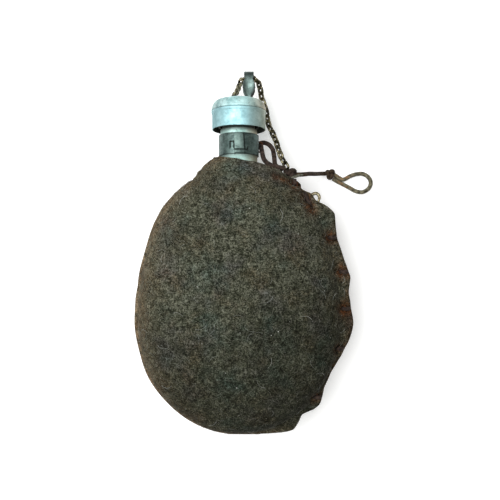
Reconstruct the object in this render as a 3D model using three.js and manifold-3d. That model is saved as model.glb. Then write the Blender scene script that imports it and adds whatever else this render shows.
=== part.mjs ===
// A field canteen: an aluminium flask in a laced wool cover, with a screw cap on a chain. It lies on its
// back. Millimetres: +X is the laced side, +Y runs from the flask's widest line to the cap, +Z is up.
import * as THREE from "three";
import { mergeVertices } from "three/addons/utils/BufferGeometryUtils.js";
import Module from "manifold-3d";

const wasm = await Module();
wasm.setup();

// Clearances
const CLEAR = 0.3; // between pieces that touch
const COVER_GAP = 0.6; // between the flask and its cover
const THREAD_CLEAR = 0.5; // between the neck's thread and the bush's, along the radius
const CHAIN_STANDOFF = 1; // between the chain and the cap's side

// Flask
const FLASK_HALF_WIDTH = 62;
const FLASK_HALF_DEPTH = 30;
const FLASK_BELOW = 69; // from the widest line down to the bottom
const FLASK_ABOVE = 101.4; // from the widest line up to the foot of the neck
const FLASK_FULLNESS = 2.3; // power of the cross-section, 2 is an ellipse
const FLASK_DEPTH_FULLNESS = 2.5; // power of the side profile
const SHOULDER_FILLET = 6;
const SHOULDER_PINCH = 0.13; // share of the width lost beside the neck
const PINCH_ONSET = 8; // power of the rise: the pinch stays near the neck
const FLASK_WALL = 1.4;
const NECK_RADIUS = 12.3;
const NECK_LENGTH = 35.1; // from the foot of the neck to the lip
const MOUTH_RADIUS = 9.2;
const THREAD_ROOT = 10.6;
const THREAD_DEPTH = 1.3;
const THREAD_PITCH = 3;
const THREAD_TURNS = 1.5;
const THREAD_HALF_BASE = 0.75;
const THREAD_HALF_CREST = 0.35;
const LIP_TO_THREAD = 2.2;
const NECK_CONE = 4.5; // height of the taper between the band and the thread

// Wool cover
const FELT = 3;
const SEAM_LIP = 3; // flat lip where the two panels meet
const SEAM_LIP_TOP = 0.6; // how far that lip reaches past the panel at the shoulder
const LIP_SLOPE = 0.5; // the front's laced lip swells up from its edge to the dome between the lacing points
const LIP_SWELL = 6; // height of that swelling at most
const LIP_SWELL_END = 0.8; // share of the height, up and down, where the swelling ends
const LIP_SWELL_FADE = 0.1;
const SMALLEST_LIP = 0.6;
const LIP_GAP = 0.4; // between the two panels
const REST_FLAT = 0.8; // how far the felt is pressed flat where it lies
const COLLAR_FRONT = 1.9; // from the foot of the neck up to the cover's edge, on the axis
const COLLAR_SLOPE = 0.19; // the edge drops towards the laced side
const NOTCH_RISE = 0.84; // the sewn lip on the left ends here, as a share of the height above
// The laced lip's outline: share of the height above or below the widest line, and how far the
// lip stands out past an even one there.
const LOBES = [
  [-0.98, 8], [-0.945, 13.2], [-0.911, 10], [-0.876, 7], [-0.825, 2.6], [-0.785, 6.8], [-0.74, 6.9],
  [-0.67, 4.2], [-0.6, 0.9], [-0.46, -0.4], [-0.34, 1.4], [-0.25, 3.5], [-0.115, 6], [-0.03, 6.9],
  [0.066, 5.4], [0.165, 4.5], [0.264, 7.4], [0.363, 5.6], [0.49, 5.3], [0.56, 7], [0.661, 11.6],
  [0.705, 9.3], [0.735, 4.2], [0.785, 5.4], [0.834, 4.2],
];

// Lacing
const LACE = 2.4; // diameter
const EYELET_RISES = [0.834, 0.735, 0.505, 0.295, 0.066, -0.25, -0.668];
const EYELET_INSET = 5.6; // from the lip's edge
const EYELET_WEB = 0.7; // felt left between an eyelet's hole and the lace's notch in the edge
const EYELET_WALL = 0.4;
const EYELET_BORE = LACE / 2 + CLEAR;
const EYELET_FLANGE = 2.3;

// Neck band
const BAND_HEIGHT = 13.6;
const BAND_WALL = 0.6;
const BAND_STANDOFF = 5.5; // above the foot of the neck
const TONGUE_HALF_WIDTH = 3;
const TONGUE_FOLD = 1.8; // height of the fold at the tongue's foot
const TONGUE_FOOT = 1.9; // above the band's lower edge
const SLOT_WIDTH = 2.4;
const SLOT_HEIGHT = 4.3;
const STAPLE_WIRE = 1.2;
const STAPLE_HALF_HEIGHT = 3.2;
const STAPLE_ANGLE = THREE.MathUtils.degToRad(-24); // towards the back

// Cap
const CAP_RADIUS = 18;
const CAP_WALL = 0.9;
const CROWN_WALL = 1.2;
const CROWN_HEIGHT = 6.6;
const CROWN_FLAT_RADIUS = 14.2;
const CROWN_BEVEL = 1.2; // 1 gives the crown a round edge, 2 a straight bevel
const CAP_BEAD = 1.3; // height of the bead on either side of the seam
const CAP_BEAD_STEP = 0.4; // the cap's side is this much smaller than the bead
const SKIRT_HEIGHT = 12.3;
const GASKET = 1.6;
const BUSH_WALL = 1;
const BUSH_LENGTH = 12.6;
const BUSH_THREAD_TURNS = 1.25;
const RIVET_ROOM = 2.4; // between the bush's plate and the crown
const RIVET_RADIUS = 2;
const RIVET_HEAD = 1.3;
const RIVET_INNER_HEAD_RADIUS = 4.2;
const RIVET_OUTER_HEAD_RADIUS = 3.4;
const SHACKLE_WALL = 1.2;
const SHACKLE_HEIGHT = 19.4;
const SHACKLE_WIDTH = 8.2; // of the oval leaf
const SHACKLE_TOP_WIDTH = 6.4;
const SHACKLE_WAIST = 5; // between the leaf and the top
const SHACKLE_FOOT_WIDTH = 2.4;
const SHACKLE_HALF_DEPTH = 5.4;
const SHACKLE_OFFSET = 6.7; // from the rivet to the middle of the loop
const SHACKLE_FOOT_END = 4.6; // past the rivet

// Chain
const CHAIN_LINKS = 28;
const LINK_WIDTH = 4.8;
const LINK_WIRE = 1.2;
const LINK_GAP = 0.6; // between the wires of neighbouring links
const END_RING_RADIUS = 3.6;

// Loose pieces on the shoulder
const KNOT = new THREE.Vector3(4.6, 3.9, 3.8); // half-sizes of the shoulder knot
const TAIL_KNOT = new THREE.Vector3(3.6, 4.2, 3.2); // half-sizes of the knot on the tail
const STOP_KNOT = 2.2; // radius of the knot that ends the lacing
const TAIL_LACE = 3; // diameter
const LOOP_CORD = 2.6; // diameter
const EYE_WIRE = 1.8;
const EYE_RISE = 0.775;

// Facets
const AROUND = 24; // points around the flask and the cap
const ROUTE_SIDES = 8; // sides of a lace

// Levels along Y
const lipY = FLASK_ABOVE + NECK_LENGTH;
const bandFoot = FLASK_ABOVE + BAND_STANDOFF;
const bandTop = bandFoot + BAND_HEIGHT;
const gasketFoot = lipY + CLEAR;
const plateFoot = gasketFoot + GASKET + CLEAR;
const plateTop = plateFoot + BUSH_WALL;
const crownInside = plateTop + RIVET_ROOM;
const crownTop = crownInside + CROWN_WALL;
const seamY = crownTop - CROWN_HEIGHT;
const rimY = seamY - SKIRT_HEIGHT;

// Radii about the neck's axis
const bandInner = NECK_RADIUS + CLEAR;
const bandOuter = bandInner + BAND_WALL;
const threadCrest = THREAD_ROOT + THREAD_DEPTH;
const bushBore = threadCrest + THREAD_CLEAR;
const capSide = CAP_RADIUS - CAP_BEAD_STEP;
const crownInner = capSide - CROWN_WALL;

// Half-sizes of the cover's panels and lips
const panelInner = COVER_GAP;
const panelOuter = COVER_GAP + FELT;
const lipTop = LIP_GAP / 2 + FELT; // height of the lip's face above the seam plane
const laceOver = lipTop + EYELET_WALL + 2 * CLEAR + LACE / 2; // lace on the front of the lip
const laceUnder = -(lipTop + CLEAR + LACE / 2); // lace on the back of the lip

const smoothMax = (a, b) => (a + b + Math.hypot(a - b, SHOULDER_FILLET)) / 2;
const vec = (x, y, z) => new THREE.Vector3(x, y, z);
const shifted = (base, x, y, z) => vec(base.x + x, base.y + y, base.z + z);

// Height of the neck's axis above what the canteen lies on
const axisHeight = flaskSection(0, panelInner).depth + panelOuter - panelInner + LIP_GAP / 2 - REST_FLAT;

// The shoulders draw in a little towards the neck.
function shoulderPinch(rise) {
  return 1 - SHOULDER_PINCH * Math.max(0, rise) ** PINCH_ONSET;
}

// Half-width and half-depth of the flask, grown all round, at a share of its height above or below.
function flaskSection(rise, grown) {
  const reach = (rise < 0 ? FLASK_BELOW : FLASK_ABOVE) + grown;
  const neck = (NECK_RADIUS + grown) * Math.max(0, rise) ** 2;
  const wide = (FLASK_HALF_WIDTH + grown) * Math.sqrt(Math.max(0, 1 - rise * rise)) * shoulderPinch(rise);
  const side = Math.max(0, 1 - Math.abs(rise) ** FLASK_DEPTH_FULLNESS);
  const deep = (FLASK_HALF_DEPTH + grown) * side ** (1 / FLASK_DEPTH_FULLNESS);
  return {
    y: reach * rise,
    width: smoothMax(wide, neck),
    depth: smoothMax(deep, neck),
    power: FLASK_FULLNESS - (FLASK_FULLNESS - 2) * Math.max(0, rise) ** 4,
  };
}

// A point of a section's outline; angle 0 is +X and a quarter turn is +Z.
function sectionPoint(section, angle) {
  const round = (v) => Math.sign(v) * Math.abs(v) ** (2 / section.power);
  return vec(section.width * round(Math.cos(angle)), section.y, section.depth * round(Math.sin(angle)));
}

// Geometry from points and from faces with any number of corners, turned to face outwards.
function closedGeometry(points, faces) {
  const triangles = faces.flatMap((f) => f.slice(2).flatMap((c, k) => [f[0], f[k + 1], c]));
  const geometry = new THREE.BufferGeometry().setFromPoints(points);
  let volume = 0;
  for (let i = 0; i < triangles.length; i += 3) {
    const [a, b, c] = [0, 1, 2].map((k) => points[triangles[i + k]]);
    volume += a.dot(b.clone().cross(c));
  }
  geometry.setIndex(volume < 0 ? triangles.reverse() : triangles);
  return geometry;
}

// A skin over a row of loops with equally many points, closed by a flat face at each end.
function skin(loops) {
  const n = loops[0].length;
  const faces = [loops[0].map((_, i) => n - 1 - i), loops[0].map((_, i) => (loops.length - 1) * n + i)];
  for (let j = 0; j + 1 < loops.length; j++)
    for (let i = 0; i < n; i++) {
      const next = (i + 1) % n;
      faces.push([j * n + i, j * n + next, (j + 1) * n + next, (j + 1) * n + i]);
    }
  return closedGeometry(loops.flat(), faces);
}

// A sheet with thickness, from two grids of points with the same rows and columns.
function thickSheet(outer, inner) {
  const rows = outer.length;
  const columns = outer[0].length;
  const top = (j, i) => j * columns + i;
  const under = (j, i) => (rows + j) * columns + i;
  const faces = [];
  for (let j = 0; j + 1 < rows; j++)
    for (let i = 0; i + 1 < columns; i++) {
      faces.push([top(j, i), top(j, i + 1), top(j + 1, i + 1), top(j + 1, i)]);
      faces.push([under(j, i), under(j + 1, i), under(j + 1, i + 1), under(j, i + 1)]);
    }
  const [lastRow, lastColumn] = [rows - 1, columns - 1];
  for (let i = 0; i < lastColumn; i++) {
    faces.push([top(0, i), under(0, i), under(0, i + 1), top(0, i + 1)]);
    faces.push([top(lastRow, i), top(lastRow, i + 1), under(lastRow, i + 1), under(lastRow, i)]);
  }
  for (let j = 0; j < lastRow; j++) {
    faces.push([top(j, 0), top(j + 1, 0), under(j + 1, 0), under(j, 0)]);
    faces.push([top(j, lastColumn), under(j, lastColumn), under(j + 1, lastColumn), top(j + 1, lastColumn)]);
  }
  return closedGeometry([...outer.flat(), ...inner.flat()], faces);
}

function solid(geometry) {
  const bare = geometry.clone();
  bare.deleteAttribute("normal");
  bare.deleteAttribute("uv");
  const merged = mergeVertices(bare, 1e-4);
  const vertProperties = merged.attributes.position.array;
  const triVerts = new Uint32Array(merged.index.array);
  return new wasm.Manifold(new wasm.Mesh({ numProp: 3, vertProperties, triVerts }));
}

function geometryOf(body) {
  const mesh = body.getMesh();
  const positions = new THREE.BufferAttribute(new Float32Array(mesh.vertProperties), 3);
  const geometry = new THREE.BufferGeometry().setAttribute("position", positions);
  return geometry.setIndex(new THREE.BufferAttribute(mesh.triVerts, 1));
}

// A body of revolution about the neck's axis from a closed outline of [radius, y] pairs.
function turned(outline, around = AROUND) {
  const points = [...outline, outline[0]].map(([r, y]) => new THREE.Vector2(r, y));
  const lathe = new THREE.LatheGeometry(points, around);
  const merged = mergeVertices(new THREE.BufferGeometry()
    .setAttribute("position", lathe.getAttribute("position")).setIndex(lathe.index), 1e-4);
  return outward(merged);
}

// The same geometry with its faces turned to point out of the body.
function outward(geometry) {
  const position = geometry.getAttribute("position");
  const points = Array.from({ length: position.count }, (_, i) =>
    new THREE.Vector3().fromBufferAttribute(position, i));
  const faces = [];
  for (let i = 0; i < geometry.index.count; i += 3) {
    const face = [0, 1, 2].map((k) => geometry.index.getX(i + k));
    if (new Set(face).size === 3) faces.push(face);
  }
  return closedGeometry(points, faces);
}

// A round rod along Y, between two levels.
function rod(radius, from, to, sides = 12) {
  return new THREE.CylinderGeometry(radius, radius, to - from, sides).translate(0, (from + to) / 2, 0);
}

function block(x0, x1, y0, y1, z0, z1) {
  return new THREE.BoxGeometry(x1 - x0, y1 - y0, z1 - z0)
    .translate((x0 + x1) / 2, (y0 + y1) / 2, (z0 + z1) / 2);
}

function ellipsoid(centre, half, grown = 0) {
  return new THREE.SphereGeometry(1, 12, 8)
    .scale(half.x + grown, half.y + grown, half.z + grown)
    .translate(centre.x, centre.y, centre.z);
}

// A cord, lace or wire along a smooth route through chosen points.
function tube(route, diameter, steps, sides = ROUTE_SIDES) {
  const curve = new THREE.CatmullRomCurve3(route, false, "centripetal");
  const section = Array.from({ length: sides }, (_, k) => {
    const angle = (2 * Math.PI * k) / sides;
    return new THREE.Vector2(Math.cos(angle), Math.sin(angle)).multiplyScalar(diameter / 2);
  });
  return new THREE.ExtrudeGeometry(new THREE.Shape(section), { steps, extrudePath: curve });
}

// A ridge that climbs about the neck's axis as a right-hand thread, from radius base to crest.
function threadRidge(base, crest, startY, turns) {
  const steps = Math.round(turns * AROUND);
  const loops = Array.from({ length: steps + 1 }, (_, k) => {
    const angle = (2 * Math.PI * k) / AROUND;
    const y = startY + (THREAD_PITCH * k) / AROUND;
    const at = (r, dy) => vec(r * Math.sin(angle), y + dy, r * Math.cos(angle));
    return [
      at(base, -THREAD_HALF_BASE), at(crest, -THREAD_HALF_CREST),
      at(crest, THREAD_HALF_CREST), at(base, THREAD_HALF_BASE),
    ];
  });
  return skin(loops);
}

const threadStart = lipY - LIP_TO_THREAD - THREAD_TURNS * THREAD_PITCH;

// Materials
const paint = (color, roughness, metalness = 0) =>
  new THREE.MeshStandardMaterial({ color, roughness, metalness });
const aluminium = paint(0xb4c2c2, 0.45, 1);
const felt = paint(0x4b4c41, 1);
const darkSteel = paint(0x53635e, 0.55, 1);
const chainSteel = paint(0x86806c, 0.5, 1);
const rustySteel = paint(0x4a3321, 0.9, 0.4);
const brassWire = paint(0x8c7d5c, 0.5, 1);
const darkLeather = paint(0x33291f, 0.85);
const oliveCord = paint(0x6b6452, 0.9);
const blackRubber = paint(0x292521, 0.9);

const canteen = new THREE.Group();
const onAxis = new THREE.Group();
onAxis.position.z = axisHeight;
canteen.add(onAxis);

function place(name, geometry, material) {
  const mesh = new THREE.Mesh(geometry, material);
  mesh.name = name;
  onAxis.add(mesh);
  return mesh;
}

// Shares of the height at which the cover has a row of points
const rowRises = [-1, ...LOBES.map(([rise]) => rise), 0.88, 0.93, 0.97, 1];

// The flask, open at the mouth, with the thread on its neck. Below the notch it has every second row
// of the cover.
function bottle() {
  const rises = rowRises.filter((rise, k) => rise > NOTCH_RISE || k % 2 === 1 || k === 0);
  const ringOf = (section) => Array.from({ length: AROUND }, (_, k) =>
    sectionPoint(section, (2 * Math.PI * k) / AROUND));
  const round = (y, radius) => ({ y, width: radius, depth: radius, power: 2 });
  const outer = rises.map((rise) => flaskSection(rise, 0));
  const neck = [
    round(FLASK_ABOVE + BAND_STANDOFF / 2, NECK_RADIUS),
    round(bandTop, NECK_RADIUS),
    round(bandTop + NECK_CONE, THREAD_ROOT),
    round(lipY, THREAD_ROOT),
  ];
  const bore = [round(lipY, MOUTH_RADIUS), round(FLASK_ABOVE + BAND_STANDOFF / 2, MOUTH_RADIUS)];
  const inner = rises.map((rise) => flaskSection(rise, -FLASK_WALL)).reverse();
  const shell = solid(skin([...outer, ...neck, ...bore, ...inner].map(ringOf)));
  const ridge = solid(threadRidge(THREAD_ROOT - CLEAR, threadCrest, threadStart, THREAD_TURNS));
  return geometryOf(shell.add(ridge));
}

// How far the even lip stands from the axis at a level.
function lipHalfWidth(y) {
  const reach = y < 0 ? FLASK_BELOW + panelOuter + SEAM_LIP : FLASK_ABOVE + panelOuter + SEAM_LIP_TOP;
  const share = Math.min(1, Math.abs(y) / reach);
  return (FLASK_HALF_WIDTH + panelOuter + SEAM_LIP) * Math.sqrt(1 - share * share);
}

function lipLevel(rise) {
  const reach = rise < 0 ? FLASK_BELOW + panelOuter + SEAM_LIP : FLASK_ABOVE + panelOuter + SEAM_LIP_TOP;
  return rise * reach;
}

// The laced lip's edge at a share of the height, straight between the lobes' points.
function lacedEdge(rise) {
  const next = LOBES.findIndex(([at]) => at >= rise);
  const [r1, w1] = LOBES[Math.max(0, next)];
  const [r0, w0] = LOBES[Math.max(0, next - 1)];
  const lobe = r1 === r0 ? w1 : w0 + ((w1 - w0) * (rise - r0)) / (r1 - r0);
  return lipHalfWidth(lipLevel(rise)) + lobe;
}

const eyelets = EYELET_RISES.map((rise) => vec(lacedEdge(rise) - EYELET_INSET, lipLevel(rise), 0));
// From an eyelet to the lace in its notch
const overEdge = EYELET_BORE + EYELET_WALL + EYELET_WEB + 2 * CLEAR + LACE / 2;
const topEyelet = eyelets[0];
const shoulderKnot = shifted(topEyelet, -2.7, 7.7, 2);

// One panel of the cover: a domed sheet of felt with a flat lip around it. side is 1 for the front.
function feltPanel(side) {
  const domePoints = AROUND / 2;
  const outer = [];
  const inner = [];
  const addRow = (skinOut, skinIn, left, right, slope = 0) => {
    const outRow = [vec(-left, skinOut.y, lipTop)];
    const inRow = [vec(-left, skinOut.y, LIP_GAP / 2)];
    for (let k = 0; k <= domePoints; k++) {
      const angle = Math.PI * (1 - k / domePoints);
      const out = sectionPoint(skinOut, angle);
      const under = sectionPoint(skinIn, angle);
      const lip = lipTop + (out.x > 0 ? Math.min(LIP_SWELL, slope * (right - out.x)) : 0);
      outRow.push(vec(out.x, out.y, Math.max(lip, out.z + LIP_GAP / 2)));
      inRow.push(vec(under.x, under.y, under.z + LIP_GAP / 2));
    }
    for (const share of [0.5, 1]) {
      const x = skinOut.width + (right - skinOut.width) * share;
      outRow.push(vec(x, skinOut.y, lipTop + Math.min(LIP_SWELL, slope * (right - x))));
      inRow.push(vec(x, skinOut.y, LIP_GAP / 2));
    }
    outer.push(outRow);
    inner.push(inRow);
  };
  const grownSection = (rise) => {
    const under = flaskSection(rise, panelInner);
    const y = under.y + Math.sign(rise) * FELT;
    return [{ ...under, y, width: under.width + FELT, depth: under.depth + FELT }, under];
  };
  const flat = (y, width) => ({ y, width, depth: 0, power: 2 });
  const lowest = FLASK_BELOW + panelOuter + SEAM_LIP;
  for (const y of [-0.995 * lowest, -0.975 * lowest]) {
    const [left, right] = [lipHalfWidth(y), lacedEdge(y / lowest)];
    const width = FELT + SHOULDER_FILLET / 2;
    addRow(flat(y, width), flat(y, width - FELT / 2), left, right);
  }
  for (const rise of rowRises) {
    const [out, under] = grownSection(rise);
    const left = rise < NOTCH_RISE ? lipHalfWidth(out.y) * shoulderPinch(rise) : 0;
    const share = out.y / Math.abs(lipLevel(Math.sign(rise)));
    const right = rise <= LOBES.at(-1)[0] ? lacedEdge(share) : 0;
    const least = out.width + SMALLEST_LIP;
    const swell = Math.min(1, Math.max(0, (LIP_SWELL_END - Math.abs(rise)) / LIP_SWELL_FADE));
    addRow(out, under, Math.max(left, least), Math.max(right, least), side > 0 ? LIP_SLOPE * swell : 0);
  }
  for (const y of [FLASK_ABOVE + panelOuter + SEAM_LIP_TOP, bandTop]) {
    const round = { y, width: NECK_RADIUS + panelOuter, depth: NECK_RADIUS + panelOuter, power: 2 };
    const under = { y, width: NECK_RADIUS + panelInner, depth: NECK_RADIUS + panelInner, power: 2 };
    const least = round.width + SMALLEST_LIP;
    addRow(round, under, least, least);
  }
  const turn = (row) => row.map((p) => vec(p.x, p.y, side * p.z));
  const sheet = thickSheet(outer.map(turn), inner.map(turn));

  const big = 4 * FLASK_HALF_WIDTH;
  const above = block(-big, big, 0, big, -big, big)
    .rotateZ(-Math.atan(COLLAR_SLOPE)).translate(0, FLASK_ABOVE + COLLAR_FRONT, 0);
  let body = solid(sheet).subtract(solid(above));
  for (const at of eyelets) {
    const upright = (radius, from, dx) =>
      solid(rod(radius, from, big).rotateX(side * Math.PI / 2).translate(at.x + dx, at.y, 0));
    body = body.subtract(upright(EYELET_BORE + EYELET_WALL + CLEAR, -big, 0));
    body = body.subtract(upright(EYELET_FLANGE + CLEAR, lipTop, 0));
    if (at === topEyelet) continue;
    const half = LACE / 2 + CLEAR;
    const groove = block(at.x, at.x + overEdge, at.y - half, at.y + half, lipTop, big);
    body = body.subtract(upright(half, -big, overEdge)).subtract(solid(groove));
  }
  body = body.subtract(solid(ellipsoid(shoulderKnot, KNOT, CLEAR)));
  if (side < 0) {
    const below = block(-big, big, -big, big, -big, -axisHeight);
    body = body.subtract(solid(below));
  }
  return geometryOf(body);
}

// A rolled eyelet in the front lip.
function eyelet(at) {
  const top = lipTop + CLEAR;
  const outline = [
    [EYELET_BORE, LIP_GAP / 2], [EYELET_BORE + EYELET_WALL, LIP_GAP / 2], [EYELET_BORE + EYELET_WALL, top],
    [EYELET_FLANGE, top], [EYELET_FLANGE, top + EYELET_WALL], [EYELET_BORE, top + EYELET_WALL],
  ];
  return turned(outline, 10).rotateX(Math.PI / 2).translate(at.x, at.y, 0);
}

// The lace: from the knot down through the first eyelet, then up through each next one and over the edge.
function sideLaceRoute() {
  const route = [
    shifted(shoulderKnot, 2.6, -KNOT.y - 0.3, 3.6),
    vec(topEyelet.x, topEyelet.y + 0.6, laceOver),
    vec(topEyelet.x, topEyelet.y, 0),
    vec(topEyelet.x, topEyelet.y, laceUnder + 1.6),
    vec(topEyelet.x + 0.4, topEyelet.y, laceUnder - 0.4),
    vec(topEyelet.x + 3.6, topEyelet.y - 1.6, laceUnder - 1.5),
  ];
  for (const at of eyelets.slice(1)) {
    route.push(
      vec(at.x + 3, at.y + 2.6, laceUnder - 1.5),
      vec(at.x, at.y + 0.3, laceUnder - 0.4),
      vec(at.x, at.y, laceUnder + 1.7),
      vec(at.x, at.y, lipTop),
      vec(at.x + 0.9, at.y, laceOver + 0.6),
      vec(at.x + overEdge / 2, at.y, laceOver + 1.2),
      vec(at.x + overEdge - 0.5, at.y, laceOver),
      vec(at.x + overEdge, at.y, lipTop - 1),
      vec(at.x + overEdge, at.y, laceUnder + 1.3),
      vec(at.x + overEdge + 0.2, at.y - 0.4, laceUnder - 0.5),
      vec(at.x + overEdge + 0.4, at.y - 2.4, laceUnder - 1.5),
    );
  }
  const last = eyelets.at(-1);
  route.push(vec(last.x + overEdge - 1.6, last.y - 4.4, laceUnder - 1.5));
  return route;
}

// The neck band: a steel strip with a slot, and its tongue folded up over the front.
function neckBand() {
  const ring = solid(turned([
    [bandInner, bandFoot], [bandOuter, bandFoot], [bandOuter, bandTop], [bandInner, bandTop],
  ]));
  const tongueFoot = bandFoot + TONGUE_FOOT;
  const tongueInner = bandOuter + CLEAR;
  const tongueOuter = tongueInner + BAND_WALL;
  const layer = solid(turned([
    [tongueInner, tongueFoot], [tongueOuter, tongueFoot],
    [tongueOuter, bandTop + CLEAR], [tongueInner, bandTop + CLEAR],
  ]));
  const fold = solid(turned([
    [bandInner + BAND_WALL / 2, tongueFoot], [tongueOuter, tongueFoot],
    [tongueOuter, tongueFoot + TONGUE_FOLD], [bandInner + BAND_WALL / 2, tongueFoot + TONGUE_FOLD],
  ]));
  const front = solid(block(-TONGUE_HALF_WIDTH, TONGUE_HALF_WIDTH, bandFoot, lipY, 0, 2 * bandOuter));
  const slotX = -TONGUE_HALF_WIDTH - SLOT_WIDTH;
  const slotFoot = tongueFoot + TONGUE_FOLD;
  const slot = block(slotX, slotX + SLOT_WIDTH, slotFoot, slotFoot + SLOT_HEIGHT, 0, 2 * bandOuter);
  return geometryOf(ring.subtract(solid(slot)).add(layer.intersect(front)).add(fold.intersect(front)));
}

const laceSeat = bandOuter + CLEAR + LACE / 2; // radius at which the neck lace passes the band
const stapleY = (bandFoot + bandTop) / 2 + 0.6;

// A point beside the neck's axis, at an angle below +X.
const beside = (radius, y, angle) => vec(radius * Math.cos(angle), y, radius * Math.sin(angle));

// A wire staple on the band, standing off far enough for the lace.
function bandStaple() {
  const near = bandOuter + CLEAR;
  const far = bandOuter + 3 * CLEAR + LACE + STAPLE_WIRE / 2;
  const point = (radius, dy) => beside(radius, stapleY + dy, STAPLE_ANGLE);
  const route = [
    point(near, -STAPLE_HALF_HEIGHT), point(far - 1, -STAPLE_HALF_HEIGHT), point(far, 1 - STAPLE_HALF_HEIGHT),
    point(far, STAPLE_HALF_HEIGHT - 1), point(far - 1, STAPLE_HALF_HEIGHT), point(near, STAPLE_HALF_HEIGHT),
  ];
  return tube(route, STAPLE_WIRE, 16, 6);
}

// The neck lace: from the knot to the staple, through it, and back behind to the knot.
function neckLaceRoute() {
  const through = (turn) => beside(laceSeat, stapleY, STAPLE_ANGLE + turn);
  return [
    shifted(shoulderKnot, -3.6, 3.4, 2.8), shifted(shoulderKnot, -12.8, 5.8, 4),
    shifted(shoulderKnot, -17, 9, 1.4), beside(laceSeat + 0.4, stapleY - 2.4, -0.08),
    through(0.2), through(0), through(-0.3),
    beside(laceSeat + 2, stapleY + 1.4, STAPLE_ANGLE - 0.62),
    beside(laceSeat + 6, stapleY + 4.3, STAPLE_ANGLE - 0.3),
    beside(laceSeat + 7.3, stapleY + 2.7, STAPLE_ANGLE - 0.05),
    shifted(shoulderKnot, -11.3, 17.6, -9), shifted(shoulderKnot, -10.3, 12.4, -6),
    shifted(shoulderKnot, -9.3, 6.8, -3.8),
    shifted(shoulderKnot, -4.6, 3.4, -2.6),
  ];
}

// The cap's skirt, with an open rim and a tuck at the top that the crown is pressed over.
function capSkirt() {
  const tuck = crownInner - CLEAR;
  const shoulder = seamY - CLEAR;
  const top = plateFoot - CLEAR;
  return turned([
    [capSide, rimY], [capSide, shoulder - 1.6 * CAP_BEAD], [CAP_RADIUS, shoulder - CAP_BEAD],
    [CAP_RADIUS, shoulder], [tuck, shoulder], [tuck, top],
    [tuck - CAP_WALL, top], [tuck - CAP_WALL, shoulder - CAP_WALL],
    [capSide - CAP_WALL, shoulder - CAP_WALL], [capSide - CAP_WALL, rimY],
  ]);
}

// The crown, with a bead at the seam, a soft bevel and a hole for the rivet.
function capCrown() {
  const corner = (wide, low, narrow, high) => [0, 1, 2, 3, 4].map((k) => [
    narrow + (wide - narrow) * Math.max(0, Math.cos((Math.PI / 8) * k)) ** CROWN_BEVEL,
    low + (high - low) * Math.sin((Math.PI / 8) * k) ** CROWN_BEVEL,
  ]);
  const hole = RIVET_RADIUS + CLEAR;
  return turned([
    [crownInner, seamY], [CAP_RADIUS, seamY], [CAP_RADIUS, seamY + CAP_BEAD],
    ...corner(capSide, seamY + 1.6 * CAP_BEAD, CROWN_FLAT_RADIUS, crownTop),
    [hole, crownTop], [hole, crownInside],
    ...corner(crownInner, plateTop + CLEAR, CROWN_FLAT_RADIUS - CROWN_WALL, crownInside).reverse(),
  ]);
}

// The threaded bush, with a flange held between the skirt and the crown.
function capBush() {
  const outer = bushBore + BUSH_WALL;
  const foot = plateFoot - BUSH_LENGTH;
  const flange = crownInner - CLEAR;
  const centre = 0.01;
  const cup = turned([
    [centre, plateFoot], [bushBore, plateFoot], [bushBore, foot], [outer, foot],
    [outer, plateFoot], [flange, plateFoot], [flange, plateTop], [centre, plateTop],
  ]);
  const axle = rod(2 * centre, plateFoot, plateTop, 8);
  const ridge = threadRidge(
    bushBore + CLEAR, bushBore - THREAD_DEPTH, threadStart + THREAD_PITCH / 2, BUSH_THREAD_TURNS,
  );
  return geometryOf(solid(cup).add(solid(axle)).add(solid(ridge)));
}

function capGasket() {
  return rod(bushBore - CLEAR, gasketFoot, gasketFoot + GASKET, 24);
}

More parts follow.
